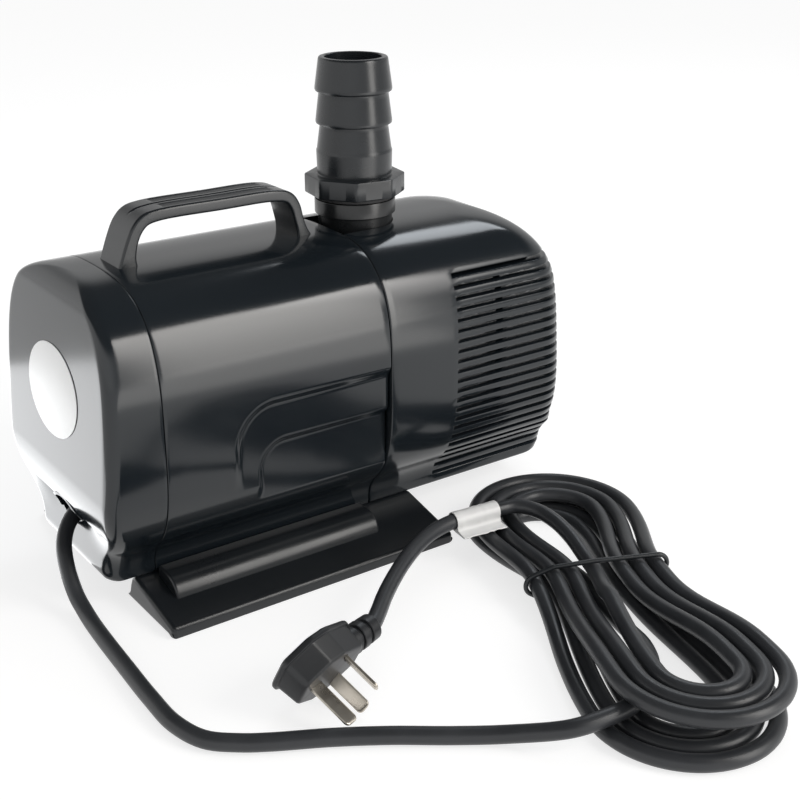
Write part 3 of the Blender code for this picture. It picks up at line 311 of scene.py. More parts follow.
for i, turn in enumerate(np.radians([45.0, 135.0, 225.0, 315.0])):
    spot = (0.0, SCREW_CIRCLE_R * np.cos(turn), AXIS_Z + SCREW_CIRCLE_R * np.sin(turn))
    ways.append((turned("way_tool_%d" % i, screw_way, 16, None, "x", spot), "DIFFERENCE"))
worked(volute, [(collar, "UNION")] + ways)
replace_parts(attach(volute, "pump"), "volute")
for i in range(1, 5):
    dress(turned_steel, "volute_screw_%d" % i, "base_screw_%d" % i)

# Motor casing: one glossy black moulding of the body section, open at both ends, with a stepped
# recess along each flank and the edges of its seams just broken.
CASING_X = (10.65, 131.35)
CASING_BREAKS = (0.4, 0.8)
BODY_HALF_W, BODY_HALF_H, BODY_MID_Z, BODY_POWER = 60.0, 66.0, 88.0, 3.15
BEND_Z, FLARE_END_Z, KEEL_Z = 34.0, 19.5, 14.6
KEEL_HALF, KEEL_R = 39.2, 1.5
# Each recess: where it starts along x, its top, its half width, corner radius and the width of its slope.
RECESSES = ((47.0, 94.0, 57.2, 20.0, 6.5), (59.5, 73.0, 54.4, 14.0, 5.0))
gloss_black = finish_of("gloss_black_moulding", (0.0085, 0.0118, 0.0150), (0.0110, 0.0148, 0.0185),
                        (0.13, 0.17), tooth_scale=420.0, bump=0.012, scuffs=0.25, cloud_scale=9.0,
                        ior=1.54)


def power(v, e):
    """v to the power e with its sign kept."""
    return np.sign(v) * np.abs(v) ** e


def section(p, d):
    """Half outline of the body from crown to keel, drawn in by d: p 0 to 1 runs down a superellipse of
    BODY_POWER to the bend, 1 to 2 down the flare, 2 to 3 round the foot, 3 to 4 under to the middle."""
    p, d = np.broadcast_arrays(np.asarray(p, dtype=float), np.asarray(d, dtype=float))
    bend = -np.arcsin(((BODY_MID_Z - BEND_Z) / (BODY_HALF_H - d)) ** (BODY_POWER / 2.0))
    t = np.pi / 2.0 + np.clip(p, 0.0, 1.0) * (bend - np.pi / 2.0)
    half, foot_z = KEEL_HALF - d, KEEL_Z + KEEL_R + d
    waist = (BODY_HALF_W - d) * np.abs(np.cos(bend)) ** (2.0 / BODY_POWER)
    fall = BEND_Z + np.clip(p - 1.0, 0.0, 1.0) * (foot_z - BEND_Z)
    flare = half + (waist - half) * np.clip((fall - FLARE_END_Z) / (BEND_Z - FLARE_END_Z), 0.0, 1.0) ** 2
    foot = np.clip(p - 2.0, 0.0, 1.0) * np.pi / 2.0
    parts = [p <= 1.0, p <= 2.0, p <= 3.0]
    y = np.select(parts, [(BODY_HALF_W - d) * np.abs(np.cos(t)) ** (2.0 / BODY_POWER), flare,
                          half - KEEL_R + KEEL_R * np.cos(foot)], (half - KEEL_R) * (4.0 - p))
    z = np.select(parts, [BODY_MID_Z + (BODY_HALF_H - d) * power(np.sin(t), 2.0 / BODY_POWER), fall,
                          foot_z - KEEL_R * np.sin(foot)], KEEL_Z + d)
    return np.where(p <= 0.0, 0.0, y), z


def evenly(fine, size):
    """Values of p whose points lie about size(y, z) apart along the half outline."""
    y, z = section(fine, 0.0)
    step = np.hypot(np.diff(y), np.diff(z)) / size(0.5 * (y[1:] + y[:-1]), 0.5 * (z[1:] + z[:-1]))
    run = np.r_[0.0, np.cumsum(step)]
    return np.interp(np.linspace(0.0, run[-1], int(np.ceil(run[-1])) + 1), run, fine)


def ease(x):
    """Smooth step from 0 to 1: 3 x squared less 2 x cubed."""
    x = np.clip(x, 0.0, 1.0)
    return x * x * (3.0 - 2.0 * x)


def sunk(x, y, z, spare):
    """Width with the recesses pressed in: inside the rounded-corner field |y| eases to the floor."""
    wide = np.abs(y)
    for start, top, floor, round_r, slope in RECESSES:
        a = start - spare + round_r - x
        b = z - (top + spare - round_r)
        out = np.where((a > 0.0) & (b > 0.0), np.hypot(a, b), np.maximum(a, b)) - round_r
        wide = wide - ease(0.5 - out / slope) * np.maximum(wide - (floor - spare), 0.0)
    return np.sign(y) * wide


def casing_step(y, z):
    """Distance between points along the section, finer over the recesses."""
    return np.where((z > 42.0) & (z < 102.0) & (y > 40.0), 0.62, 1.7)


p_side = evenly(np.linspace(0.0, 4.0, 60001), casing_step)
p_ring = np.r_[p_side, p_side[-2:0:-1]]
side = np.r_[np.ones(len(p_side)), -np.ones(len(p_side) - 2)]
corner = np.linspace(np.pi / 2.0, 0.0, 6)
fine_x = np.r_[np.arange(12.5, 40.0, 2.4), np.arange(40.0, 78.0, 0.55), np.arange(78.0, 130.0, 2.6)]
rear_in, rear_down = (CASING_BREAKS[0] * (1.0 - f(corner)) for f in (np.sin, np.cos))
front_in, front_down = (CASING_BREAKS[1] * (1.0 - f(corner[::-1])) for f in (np.sin, np.cos))
wall_x = np.r_[CASING_X[0] + rear_in, fine_x, CASING_X[1] - front_in]
wall_d = np.r_[rear_down, 0.0 * fine_x, front_down]
back_x = np.r_[CASING_X[1], fine_x[::-2], CASING_X[0]]
wall_x = np.r_[wall_x, back_x]
wall_d = np.r_[wall_d, np.full(len(back_x), WALL)]
y, z = section(p_ring[None, :], wall_d[:, None])
x = np.broadcast_to(wall_x[:, None], y.shape)
y = sunk(x, y * side, z, np.where(wall_d > 1.0, 2.0, wall_d)[:, None])
casing = np.stack([x, y, z], axis=-1)
casing = surface("motor_casing_shell", casing, gloss_black, wrap_rows=True)
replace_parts(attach(casing, "pump"), "motor_casing")

# Carrying handle: moulded with the casing, a flat bar on two flared feet.  Its top has the mould's
# parting groove down the middle between two finely grained panels.
HANDLE_LINE = ((21.5, 151.0), (22.2, 157.0), (24.2, 164.0), (27.2, 170.0), (31.2, 173.8), (37.5, 175.3),
               (70.0, 175.6), (100.0, 175.2), (106.4, 173.4), (109.8, 169.0), (111.8, 162.0), (113.3, 156.5),
               (114.8, 151.0))
HANDLE_HALF = (5.6, 3.8, 3.0, 2.9, 2.9, 2.8, 2.8, 2.8, 2.8, 2.7, 2.6, 3.0, 4.6)
HANDLE_FLAT, HANDLE_ROUND = 9.8, 1.2
GRAIN_ROUGHNESS = 0.22
INSET_X, INSET_Y, INSET_HALF = (41.0, 99.0), 5.6, 3.0
satin_black = finish_of("satin_black_moulding", (0.010, 0.0122, 0.0145), (0.0145, 0.0172, 0.0200),
                        (0.30, 0.38), tooth_scale=1100.0, bump=0.10, scuffs=0.5, cloud_scale=16.0)


def smooth_line(points, step):
    """Points one step apart on the centripetal Catmull-Rom curve through the given ones."""
    p = np.asarray(points, dtype=float)
    knot = np.r_[0.0, np.cumsum(np.linalg.norm(np.diff(p[:, :3], axis=0), axis=1) ** 0.5)]
    p = np.vstack([2 * p[0] - p[1], p, 2 * p[-1] - p[-2]])
    knot = np.r_[2 * knot[0] - knot[1], knot, 2 * knot[-1] - knot[-2]]
    u = np.linspace(knot[1], knot[-2], 40 * (len(p) - 3) + 1)
    i = np.clip(np.searchsorted(knot, u, side="right") - 1, 1, len(knot) - 3)
    u = u[:, None]

    def between(a, b, left, right):
        """Left and right mixed by where u lies between the knots a and b steps on."""
        return ((knot[i + b][:, None] - u) * left + (u - knot[i + a][:, None]) * right) / (
            knot[i + b] - knot[i + a])[:, None]

    a1, a2, a3 = (between(k - 1, k, p[i + k - 1], p[i + k]) for k in (0, 1, 2))
    line = between(0, 1, between(-1, 1, a1, a2), between(0, 2, a2, a3))
    run = np.r_[0.0, np.cumsum(np.linalg.norm(np.diff(line[:, :3], axis=0), axis=1))]
    at = np.linspace(0.0, run[-1], max(4, int(round(run[-1] / step)) + 1))
    return np.stack([np.interp(at, run, line[:, k]) for k in range(line.shape[1])], axis=-1)


def capped(rings):
    """Rows of points with each end closed to its own middle."""
    middles = np.broadcast_to(rings[[0, -1]].mean(axis=1, keepdims=True), rings[[0, -1]].shape)
    return np.concatenate([middles[:1], rings, middles[1:]])


bar = np.column_stack([HANDLE_LINE, np.zeros(len(HANDLE_LINE)), HANDLE_HALF])[:, [0, 2, 1, 3]]
bar = smooth_line(bar, 0.9)
run = unit(np.gradient(bar[:, [0, 2]], axis=0))
round_a = np.radians(np.linspace(0.0, 90.0, 6))
round_s, round_c = HANDLE_ROUND * np.sin(round_a), HANDLE_ROUND * np.cos(round_a)
across = np.linspace(-HANDLE_FLAT, HANDLE_FLAT, 99)[1:-1]
loop_y = np.r_[HANDLE_FLAT + round_c, across[::-1], -HANDLE_FLAT - round_s,
               -HANDLE_FLAT - round_c, across[::6], HANDLE_FLAT + round_s]
loop_b = np.r_[np.ones(len(across) + 12), -np.ones(len(across[::6]) + 12)]
loop_r = np.r_[HANDLE_ROUND - round_s, 0.0 * across, HANDLE_ROUND - round_c,
               HANDLE_ROUND - round_s, 0.0 * across[::6], HANDLE_ROUND - round_c]
on_top = (loop_b > 0.0) & (np.abs(loop_y) < HANDLE_FLAT)
bx, bz, half = bar[:, 0][:, None], bar[:, 2][:, None], bar[:, 3][:, None]
groove = ease((0.95 - np.abs(loop_y)) / 0.5) * ease((bx - 30.0) / 2.0) * ease((106.0 - bx) / 2.0)
inset = ease((INSET_HALF - np.abs(np.abs(loop_y) - INSET_Y)) / 0.5 + 0.5)
inset = inset * ease((bx - INSET_X[0]) / 1.5) * ease((INSET_X[1] - bx) / 1.5)
lift = loop_b * (half - loop_r) - on_top * (0.5 * groove + 0.3 * inset)
grid = capped(np.stack([bx - run[:, 1][:, None] * lift, np.broadcast_to(loop_y, lift.shape),
                        bz + run[:, 0][:, None] * lift], axis=-1))
handle_black = finish_of("handle_black", (0.0090, 0.0115, 0.0140), (0.0125, 0.0152, 0.0180),
                         (0.2, 0.27), scuffs=0.5, cloud_scale=16.0, ior=1.52)
tree = handle_black.node_tree
grain = tree.nodes.new("ShaderNodeAttribute")
grain.attribute_name = "grained"
rough_in = tree.nodes["Principled BSDF"].inputs["Roughness"]
grained = maths(tree, "MULTIPLY_ADD", grain.outputs["Fac"], GRAIN_ROUGHNESS,
                rough_in.links[0].from_socket)
tree.links.new(grained, rough_in)
handle = surface("carrying_handle", grid, handle_black, 40.0)
spots = np.empty(len(handle.data.vertices) * 3)
handle.data.vertices.foreach_get("co", spots)
x, y, z = ((spots.reshape(-1, 3) - BASE_REAR) * 1000.0).T
grained = (np.abs(np.abs(y) - INSET_Y) < INSET_HALF) & (x > 41.5) & (x < 98.5) & (z > 176.5)
grained = grained.astype(np.float32)
handle.data.attributes.new("grained", "FLOAT", "POINT").data.foreach_set("value", grained)
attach(handle, "pump")

# Rear cover: a glossy black cap pushed on the casing, with a leaning face rolled under to a crease, a
# narrower foot below it, and the lens-shaped slit with a raised lip that lets the cord out.
REAR_SEAM = 10.35
REAR_EDGE_R = 6.0
FACE_X, FACE_Z, FACE_LEAN = -15.5, 100.0, 0.08
CROWN_Z, CROWN_R = 144.0, 10.0
ROLL_Z, ROLL_R = 62.0, 60.0
CREASE_Z, CREASE_STEP, CREASE_FADE = 43.0, 3.45, 16.7
FOOT_BEND_Z, FOOT_R = 20.6, 6.0
SLIT_Z, SLIT_POINTS = 39.4, 50


def end_path(w, end, r, seam, marks, counts, sign):
    """Half plan of an end cover for each row: along the side through marks, round the corner of radius r
    and over the face to the middle; x and y come back as rows by columns."""
    w, end, r = (np.asarray(v, dtype=float)[:, None] for v in (w, end, r))
    stops = [np.full_like(w, v) for v in (seam,) + marks] + [end - sign * r]
    xs = [a + (b - a) * np.linspace(0.0, 1.0, n, endpoint=False)
          for a, b, n in zip(stops, stops[1:], counts)]
    phi = np.linspace(0.0, np.pi / 2.0, counts[-2], endpoint=False)
    xs += [end - sign * r * (1.0 - np.sin(phi)), end + 0.0 * np.ones(counts[-1])]
    ys = [w + 0.0 * part for part in xs[:-2]]
    ys += [w - r * (1.0 - np.cos(phi)), (w - r) * np.linspace(1.0, 0.0, counts[-1])]
    return np.hstack(xs), np.hstack(ys)


def rim_turn(x, y, z, seam, sign, size):
    """Three more columns that roll the seam edge in by size along the section's own normal."""
    dy, dz = np.gradient(y[:, 0]), np.gradient(z[:, 0])
    length = np.maximum(np.hypot(dy, dz), 1e-9)
    ny, nz = -dz / length, dy / length
    flip = np.where(ny * y[:, 0] + nz * (z[:, 0] - BODY_MID_Z) < 0.0, -1.0, 1.0)
    ny, nz = ny * flip, nz * flip
    turn = np.radians([90.0, 60.0, 30.0])
    depth = size * (1.0 - np.cos(turn))
    edge_x = np.broadcast_to(seam + sign * size * (1.0 - np.sin(turn)), (len(y), 3))
    edge_y = np.maximum(y[:, :1] - ny[:, None] * depth, 0.0)
    edge_z = z[:, :1] - nz[:, None] * depth
    return np.hstack([edge_x, x]), np.hstack([edge_y, y]), np.hstack([edge_z, z])


def both_sides(x, y, z):
    """The half plan and its mirror image as one run of columns."""
    full = np.stack([x, y, z], axis=-1)
    return np.concatenate([full, full[:, -2::-1] * np.array([1.0, -1.0, 1.0])], axis=1)


def skin_of(x, y, z, seam, sign, shrink, turned_edge):
    """Whole skin of an end cover from its half plan: rows that close the underside, the lowest plan scaled
    towards the middle of its seam, then the rolled seam edge, if any, and the mirror image."""
    z = np.broadcast_to(z[:, None], x.shape)
    start = seam + sign * turned_edge
    under_x = start + shrink[:, None] * (x[-1:] - start)
    x, y = np.vstack([x, under_x]), np.vstack([y, shrink[:, None] * y[-1:]])
    z = np.vstack([z, np.full(under_x.shape, z[-1, 0])])
    if turned_edge:
        x, y, z = rim_turn(x, y, z, seam, sign, turned_edge)
    return both_sides(x, y, z)


def rear_end(z):
    """Face leaning, rounded to the crown and rolled under to the crease, then the foot, which leans alike
    and is rounded to the keel."""
    high, low, under = (np.maximum(v, 0.0) for v in (z - CROWN_Z, ROLL_Z - z, FOOT_BEND_Z - z))
    face = FACE_X + FACE_LEAN * (np.maximum(z, ROLL_Z) - FACE_Z)
    face = face + CROWN_R - np.sqrt(np.maximum(CROWN_R ** 2 - high ** 2, 0.0))
    face = face + ROLL_R - np.sqrt(ROLL_R ** 2 - np.minimum(low, 27.0) ** 2)
    foot = FACE_LEAN * (z - CREASE_Z) - FOOT_R - np.sqrt(np.maximum(FOOT_R ** 2 - under ** 2, 0.0))
    return np.where(z < CREASE_Z, foot, face)


def rear_grid(d, turned_edge):
    """Rows from crown to keel of the rear cover's skin, drawn in by d; the crease under the face fades
    out toward the corners, where face and foot run into each other."""
    y, z = section(np.r_[p_rear, 3.0], d)
    below = z < CREASE_Z + d
    foot_z = np.minimum(np.maximum(z - d, FOOT_BEND_Z), CREASE_Z - 0.01) if d else z
    face_z = np.maximum(z + np.where(z > BODY_MID_Z, d, -d), CREASE_Z)
    end = np.where(below, rear_end(foot_z), rear_end(face_z)) + d
    r = np.minimum(np.maximum(REAR_EDGE_R - d, 1.2), 0.97 * y)
    x, y = end_path(y, end, r, REAR_SEAM - turned_edge, (), (14, 12, 24), -1.0)
    fill = below * CREASE_STEP * np.clip(1.0 - (CREASE_Z - z + d) / CREASE_FADE, 0.0, 1.0) ** 2
    back = np.clip((REAR_SEAM - x) / (REAR_SEAM - end[:, None]), 0.0, 1.0)
    x = x - fill[:, None] * ease((np.abs(y) - 16.0) / 26.0) * back
    return skin_of(x, y, z, REAR_SEAM, -1.0, np.linspace(0.85, 0.0, 6), turned_edge)


def crease_row(p, z_at):
    """p with one value moved onto the crease from either side."""
    _, z = section(p, 0.0)
    i = int(np.argmin(np.abs(z - z_at)))
    fine = np.linspace(p[i - 1], p[i + 1], 4001)
    hit = np.interp(-z_at, -section(fine, 0.0)[1], fine)
    return np.r_[p[:i], hit - 1e-5, hit + 1e-4, p[i + 1:]]


def lens(half_w, above, below, narrowing):
    """Outline of (y, height) about the slit's middle: y by the cosine, height by a power of the sine."""
    turn = circle(SLIT_POINTS)
    height = np.where(np.sin(turn) > 0.0, above, below)
    return half_w * np.cos(turn), height * power(np.sin(turn), narrowing)


p_rear = evenly(np.linspace(0.0, 3.0, 60001), lambda y, z: np.full(y.shape, 1.5))
p_rear = crease_row(p_rear, CREASE_Z)
grid = np.concatenate([rear_grid(0.0, 0.4), rear_grid(WALL, 0.0)[:, ::-1]], axis=1)
rear = surface("rear_cover_shell", grid, gloss_black)
slit_y, slit_up = lens(14.0, 5.6, 5.6, 1.5)
slit = [np.stack([np.full(SLIT_POINTS, x), slit_y, SLIT_Z + slit_up], axis=-1) for x in (-30.0, 9.0)]
slit = surface("slit_tool", capped(np.stack(slit)), None)
lip_y, lip_up = lens(15.6, 7.3, 4.6, 1.3)
lip_on = np.array([0.0, 0.6, 0.955, 0.985, 1.0, 1.0, 0.0])[:, None]
lip_back = np.array([0.0, 0.0, 0.0, 0.15, 0.5, 5.0, 5.0])[:, None]
lip_z = SLIT_Z + lip_up * lip_on
lip_x = -13.6 - 2.8 * ease((lip_z - 37.0) / 7.0) + lip_back
lip = np.stack([lip_x, lip_y * lip_on, lip_z], axis=-1)
lip = surface("lip_tool", lip, None)
worked(rear, [(lip, "UNION"), (slit, "DIFFERENCE")])
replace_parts(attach(rear, "pump"), "rear_cover")

# Rating label: an oval of white plastic film, 0.3 mm thick with a softened edge, stuck on the leaning rear
# face and left bare.
LABEL_HALF = (28.0, 22.0)
label_film = finish_of("white_label_film", (0.77, 0.77, 0.76), (0.83, 0.83, 0.825), (0.32, 0.40),
                       tooth_scale=1500.0, bump=0.03, scuffs=0.2)
lean = np.arctan(FACE_LEAN)
label_on = np.array([0.0, 1.0, 1.0, 1.0, 1.0, 0.0])[:, None]
label_in = np.array([0.0, 0.25, 0.05, 0.0, 0.0, 0.0])[:, None]
label_up = np.array([0.42, 0.42, 0.38, 0.32, 0.12, 0.12])[:, None]
turn = circle(96)
face_y = label_on * (LABEL_HALF[0] - label_in) * np.cos(turn)
face_z = label_on * (LABEL_HALF[1] - label_in) * np.sin(turn)
grid = np.stack([FACE_X - label_up * np.cos(lean) + face_z * np.sin(lean), face_y,
                 FACE_Z + label_up * np.sin(lean) + face_z * np.cos(lean)], axis=-1)
label = surface("rating_label_film", grid, label_film)
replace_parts(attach(label, "pump"), "rating_label")

# Strainer cover: the glossy black front cap, its lower flanks and face cut into level bars by 22 slots
# that let water in, with three stiffening ribs behind the bars and a neck round the outlet collar.
FRONT_SEAM = 131.65
SLOT_TOP, SLOT_PITCH, SLOT_HEIGHT, SLOT_COUNT, SLOT_START = 133.5, 5.36, 2.2, 22, 172.0
BAR_DEPTH = 5.4
NOSE_X, NOSE_Z, NOSE_LEAN = 251.0, 40.0, 0.07
NOSE_CROWN_Z, NOSE_CROWN_R = 120.0, 34.0
NOSE_UNDER_Z, NOSE_UNDER_R = 21.6, 7.0
RIM_COLUMNS, SIDE_COLUMNS = 3, 12
NECK_R = 19.2
RIB_ROWS = 60


def half_width(z, d):
    """Half width of the body at height z, drawn in by d, found on the section's own curve."""
    p = np.linspace(0.0, 3.0, 20001)
    y, level = section(p, d)
    return np.interp(-np.asarray(z, dtype=float), -level, y)


def strainer_end(z):
    """Face leaning forward at the foot, rounded to the crown and to the underside."""
    high = np.clip(z - NOSE_CROWN_Z, 0.0, NOSE_CROWN_R)
    low = np.clip(NOSE_UNDER_Z - z, 0.0, NOSE_UNDER_R)
    face = NOSE_X - NOSE_LEAN * (z - NOSE_Z) - NOSE_CROWN_R - NOSE_UNDER_R
    return face + np.sqrt(NOSE_CROWN_R ** 2 - high ** 2) + np.sqrt(NOSE_UNDER_R ** 2 - low ** 2)


def strainer_grid(z, w, d, turned_edge):
    """Skin of the strainer for the rows z, w from crown to keel, drawn in by d."""
    end = strainer_end(z + np.where(z > BODY_MID_Z, d, -d)) - d
    r = np.minimum(np.maximum(12.0 + 6.0 * ease((z - 34.0) / 10.0) - d, 1.2), 0.97 * w)
    counts = (SIDE_COLUMNS, 14, 14, 9)
    x, y = end_path(w, end, r, FRONT_SEAM + turned_edge, (SLOT_START,), counts, 1.0)
    return skin_of(x, y, z, FRONT_SEAM, 1.0, np.linspace(0.8, 0.0, 5), turned_edge)


levels = SLOT_TOP - SLOT_PITCH * np.arange(SLOT_COUNT)[:, None] + SLOT_HEIGHT * np.array([0.5, -0.5])
p_crown = evenly(np.linspace(0.0, 0.5, 20001), lambda y, z: np.full(y.shape, 2.2))
rows = []
for d in (0.0, BAR_DEPTH):
    y, z = section(p_crown, d)
    keep = section(p_crown, 0.0)[1] > 135.6
    toe_y, toe_z = section(np.linspace(2.0, 3.0, 4), d)
    lowest = toe_z[0] + 0.6 + 1.2 * np.arange(2 * SLOT_COUNT)[::-1]
    lift = np.maximum(levels.ravel(), lowest)
    rows.append((np.r_[z[keep], lift, toe_z], np.r_[y[keep], half_width(lift, d), toe_y]))
first_slot = int(keep.sum())
outer = strainer_grid(*rows[0], 0.0, 0.7)
inner = strainer_grid(*rows[1], BAR_DEPTH, 0.0)
tall, wide, narrow = outer.shape[0], outer.shape[1], inner.shape[1]
out_id = np.arange(tall * wide).reshape(tall, wide)
in_id = tall * wide + np.arange(tall * narrow).reshape(tall, narrow)
open_row = np.zeros(tall - 1, dtype=bool)
open_row[first_slot:first_slot + 2 * SLOT_COUNT:2] = True


def skin_quads(ids, first):
    """Quads of one skin without the slot windows, and the ids round the windows' columns."""
    quads = np.stack([ids[:-1, :-1], ids[:-1, 1:], ids[1:, 1:], ids[1:, :-1]], axis=-1)
    column = np.arange(ids.shape[1] - 1)
    window = open_row[:, None] & ((column >= first) & (column < ids.shape[1] - 1 - first))
    return quads[~window], ids[:, first:ids.shape[1] - first]


def bridged(out_a, out_b, in_a, in_b):
    """Quads from outer edges a to b to the inner edges behind them."""
    return np.stack([out_a, out_b, in_b, in_a], axis=-1).reshape(-1, 4)


def bevelled(obj, width, segments, angle):
    """Bevel, in metres, on the edges that turn by more than angle degrees."""
    mod = obj.modifiers.new("broken_edges", "BEVEL")
    mod.width = width
    mod.segments = segments
    mod.limit_method = "ANGLE"
    mod.angle_limit = np.radians(angle)


out_quads, out_win = skin_quads(out_id, RIM_COLUMNS + SIDE_COLUMNS)
in_quads, in_win = skin_quads(in_id, SIDE_COLUMNS)
top = np.flatnonzero(open_row)
edges = np.r_[top, top + 1]
quads = [out_quads, in_quads]
quads.append(bridged(out_win[edges, :-1], out_win[edges, 1:], in_win[edges, :-1], in_win[edges, 1:]))
quads += [bridged(out_win[top, c], out_win[top + 1, c], in_win[top, c], in_win[top + 1, c]) for c in (0, -1)]
quads += [bridged(out_id[:-1, c], out_id[1:, c], in_id[:-1, c], in_id[1:, c]) for c in (0, -1)]
points = np.concatenate([outer.reshape(-1, 3), inner.reshape(-1, 3)])
strainer = surface("strainer_shell", points, gloss_black, quads=np.concatenate(quads))
bevelled(strainer, 0.00035, 2, 50.0)
turn = np.radians(np.linspace(-90.0, 90.0, 49))
neck_x = np.r_[OUTLET_X + NECK_R * np.cos(turn), 100.0, 100.0]
neck_y = np.r_[NECK_R * np.sin(turn), NECK_R, -NECK_R]
neck = [np.stack([neck_x, neck_y, np.full(len(neck_x), z)], axis=-1) for z in (120.0, 170.0)]
neck = surface("neck_tool", capped(np.stack(neck)), None)
worked(strainer, [(neck, "DIFFERENCE")])
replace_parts(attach(strainer, "pump"), "strainer_cover")
rib_z = np.linspace(24.3, 129.8, RIB_ROWS)
rib_w = half_width(rib_z, 0.0)
ribs = []
for s in (-1.0, 1.0):
    corners = ((204.0, 4.2), (206.6, 4.2), (206.6, 10.0), (204.0, 10.0))
    rib = [np.stack([np.full(RIB_ROWS, x), s * (rib_w - deep), rib_z], axis=-1) for x, deep in corners]
    ribs.append(capped(np.stack(rib, axis=1)))
front_z = np.linspace(24.3, 112.4, RIB_ROWS)
front_x = strainer_end(front_z)
corners = ((-1.4, 4.2), (1.4, 4.2), (1.4, 11.0), (-1.4, 11.0))
rib = [np.stack([front_x - deep, np.full(RIB_ROWS, y), front_z], axis=-1) for y, deep in corners]
ribs.append(capped(np.stack(rib, axis=1)))
quads = ring_quads(RIB_ROWS + 2, 4)
quads = np.concatenate([quads + 4 * (RIB_ROWS + 2) * i for i in range(3)])
rib_frame = surface("strainer_ribs", np.concatenate(ribs), gloss_black, quads=quads)
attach(rib_frame, "pump")

# Base: a satin black moulding of two hollow wedge feet joined by a web, screwed up into the casing.
# A rounded rail stands along each foot and cradles the flare of the body.
BASE_LENGTH = 158.0
WEB_X, RAIL_X = (12.0, 150.0), (11.0, 124.0)
CELL_X = ((3.0, 38.5), (41.0, 77.0), (79.5, 116.0), (118.5, 155.0))
BASE_SCREWS = ((36.0, -21.0), (36.0, 21.0), (112.0, -21.0), (112.0, 21.0))
BASE_SCREW_R = 2.2


def arc(cy, cz, r, start, stop, count):
    """Points of a circular arc in a section, angles in degrees."""
    turn = np.radians(np.linspace(start, stop, count))
    return np.column_stack([cy + r * np.cos(turn), cz + r * np.sin(turn)])


def bar_of(name, outline, x0, x1, mat=None, sharp=35.0, edge=0.0):
    """Outline of (y, z) carried along x from x0 to x1, each end closed to the outline's middle; the end's
    edge is a quarter circle of radius edge, along which the outline is drawn in by its own normal."""
    outline = np.asarray(outline, dtype=float)
    way = np.roll(outline, -1, axis=0) - np.roll(outline, 1, axis=0)
    normal = np.column_stack([way[:, 1], -way[:, 0]]) / np.linalg.norm(way, axis=1)[:, None]
    normal = normal * np.sign((normal * (outline - outline.mean(axis=0))).sum())
    turn = np.radians(np.linspace(0.0, 90.0, 5 if edge else 1))
    run, draw = edge * (1.0 - np.cos(turn)), edge * (1.0 - np.sin(turn))
    x = np.r_[x0, x0 + run, x1 - run[::-1], x1]
    draw = np.r_[0.0, draw, draw[::-1], 0.0][:, None, None]
    ring = outline - draw * normal
    ring[[0, -1]] = outline.mean(axis=0)
    points = np.concatenate([np.broadcast_to(x[:, None, None], ring.shape[:2] + (1,)), ring], axis=-1)
    return surface(name, points, mat, sharp)


base_black = finish_of("base_black_moulding", (0.0090, 0.0110, 0.0132), (0.0130, 0.0155, 0.0182),
                       (0.27, 0.34), tooth_scale=1500.0, bump=0.06, cloud_scale=16.0)
foot = np.vstack([[(29.2, 0.0), (30.2, 4.0), (32.0, 9.0)], arc(37.8, 9.2, 5.1, 160.0, 78.0, 9),
                  arc(73.3, 3.6, 2.7, 74.0, -8.0, 9), [(76.0, 0.6), (75.6, 0.0)]])
rail = np.vstack([[(40.5, 6.0), (40.5, 16.6)], arc(42.0, 17.1, 1.5, 165.0, 95.0, 5),
                  arc(49.0, 8.0, 10.6, 93.0, 4.0, 20), [(59.5, 6.0)]])
under = np.array([(37.5, -2.0), (37.5, 10.0), (44.5, 9.4), (70.5, 3.6), (70.5, -2.0)])
web = np.array([(-36.5, 10.6), (36.5, 10.6), (36.5, 14.1), (-36.5, 14.1)])
base = bar_of("base_moulding", web, *WEB_X, base_black)
tools = []
sides = np.array([(-1.0, 1.0), (1.0, 1.0)])
for i, mirror in enumerate(sides):
    tools.append((bar_of("foot_tool_%d" % i, foot * mirror, 0.0, BASE_LENGTH, edge=2.2), "UNION"))
    tools.append((bar_of("rail_tool_%d" % i, rail * mirror, *RAIL_X, edge=1.2), "UNION"))
for i, mirror in enumerate(sides):
    for k, (x0, x1) in enumerate(CELL_X):
        tools.append((bar_of("cell_tool_%d%d" % (i, k), under * mirror, x0, x1), "DIFFERENCE"))
hole = [(5.0, 0.0), (5.0, BASE_SCREW_R), (23.5, BASE_SCREW_R), (23.5, 0.0)]
for i, spot in enumerate(BASE_SCREWS):
    tools.append((turned("hole_tool_%d" % i, hole, 24, None, at=(*spot, 0.0)), "DIFFERENCE"))
worked(base, tools, 30.0)
bevelled(base, 0.0007, 3, 35.0)
even = base.modifiers.new("even_shading", "WEIGHTED_NORMAL")
even.keep_sharp = False
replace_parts(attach(base, "pump"), "base_stand")

# Outlet gasket: a flat ring of black rubber with softened rims, pinched between the collar and the hose
# tail's flange as the tail is screwed down, and lifted off with it.
gasket = np.array([(166.3, 16.9), (166.3, 19.7), (166.6, 20.2), (167.8, 20.2), (168.1, 19.7),
                   (168.1, 16.9)])
gasket = turned("outlet_gasket_ring", gasket, 128, gland_rubber)
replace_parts(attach(gasket, "gasket"), "outlet_gasket")

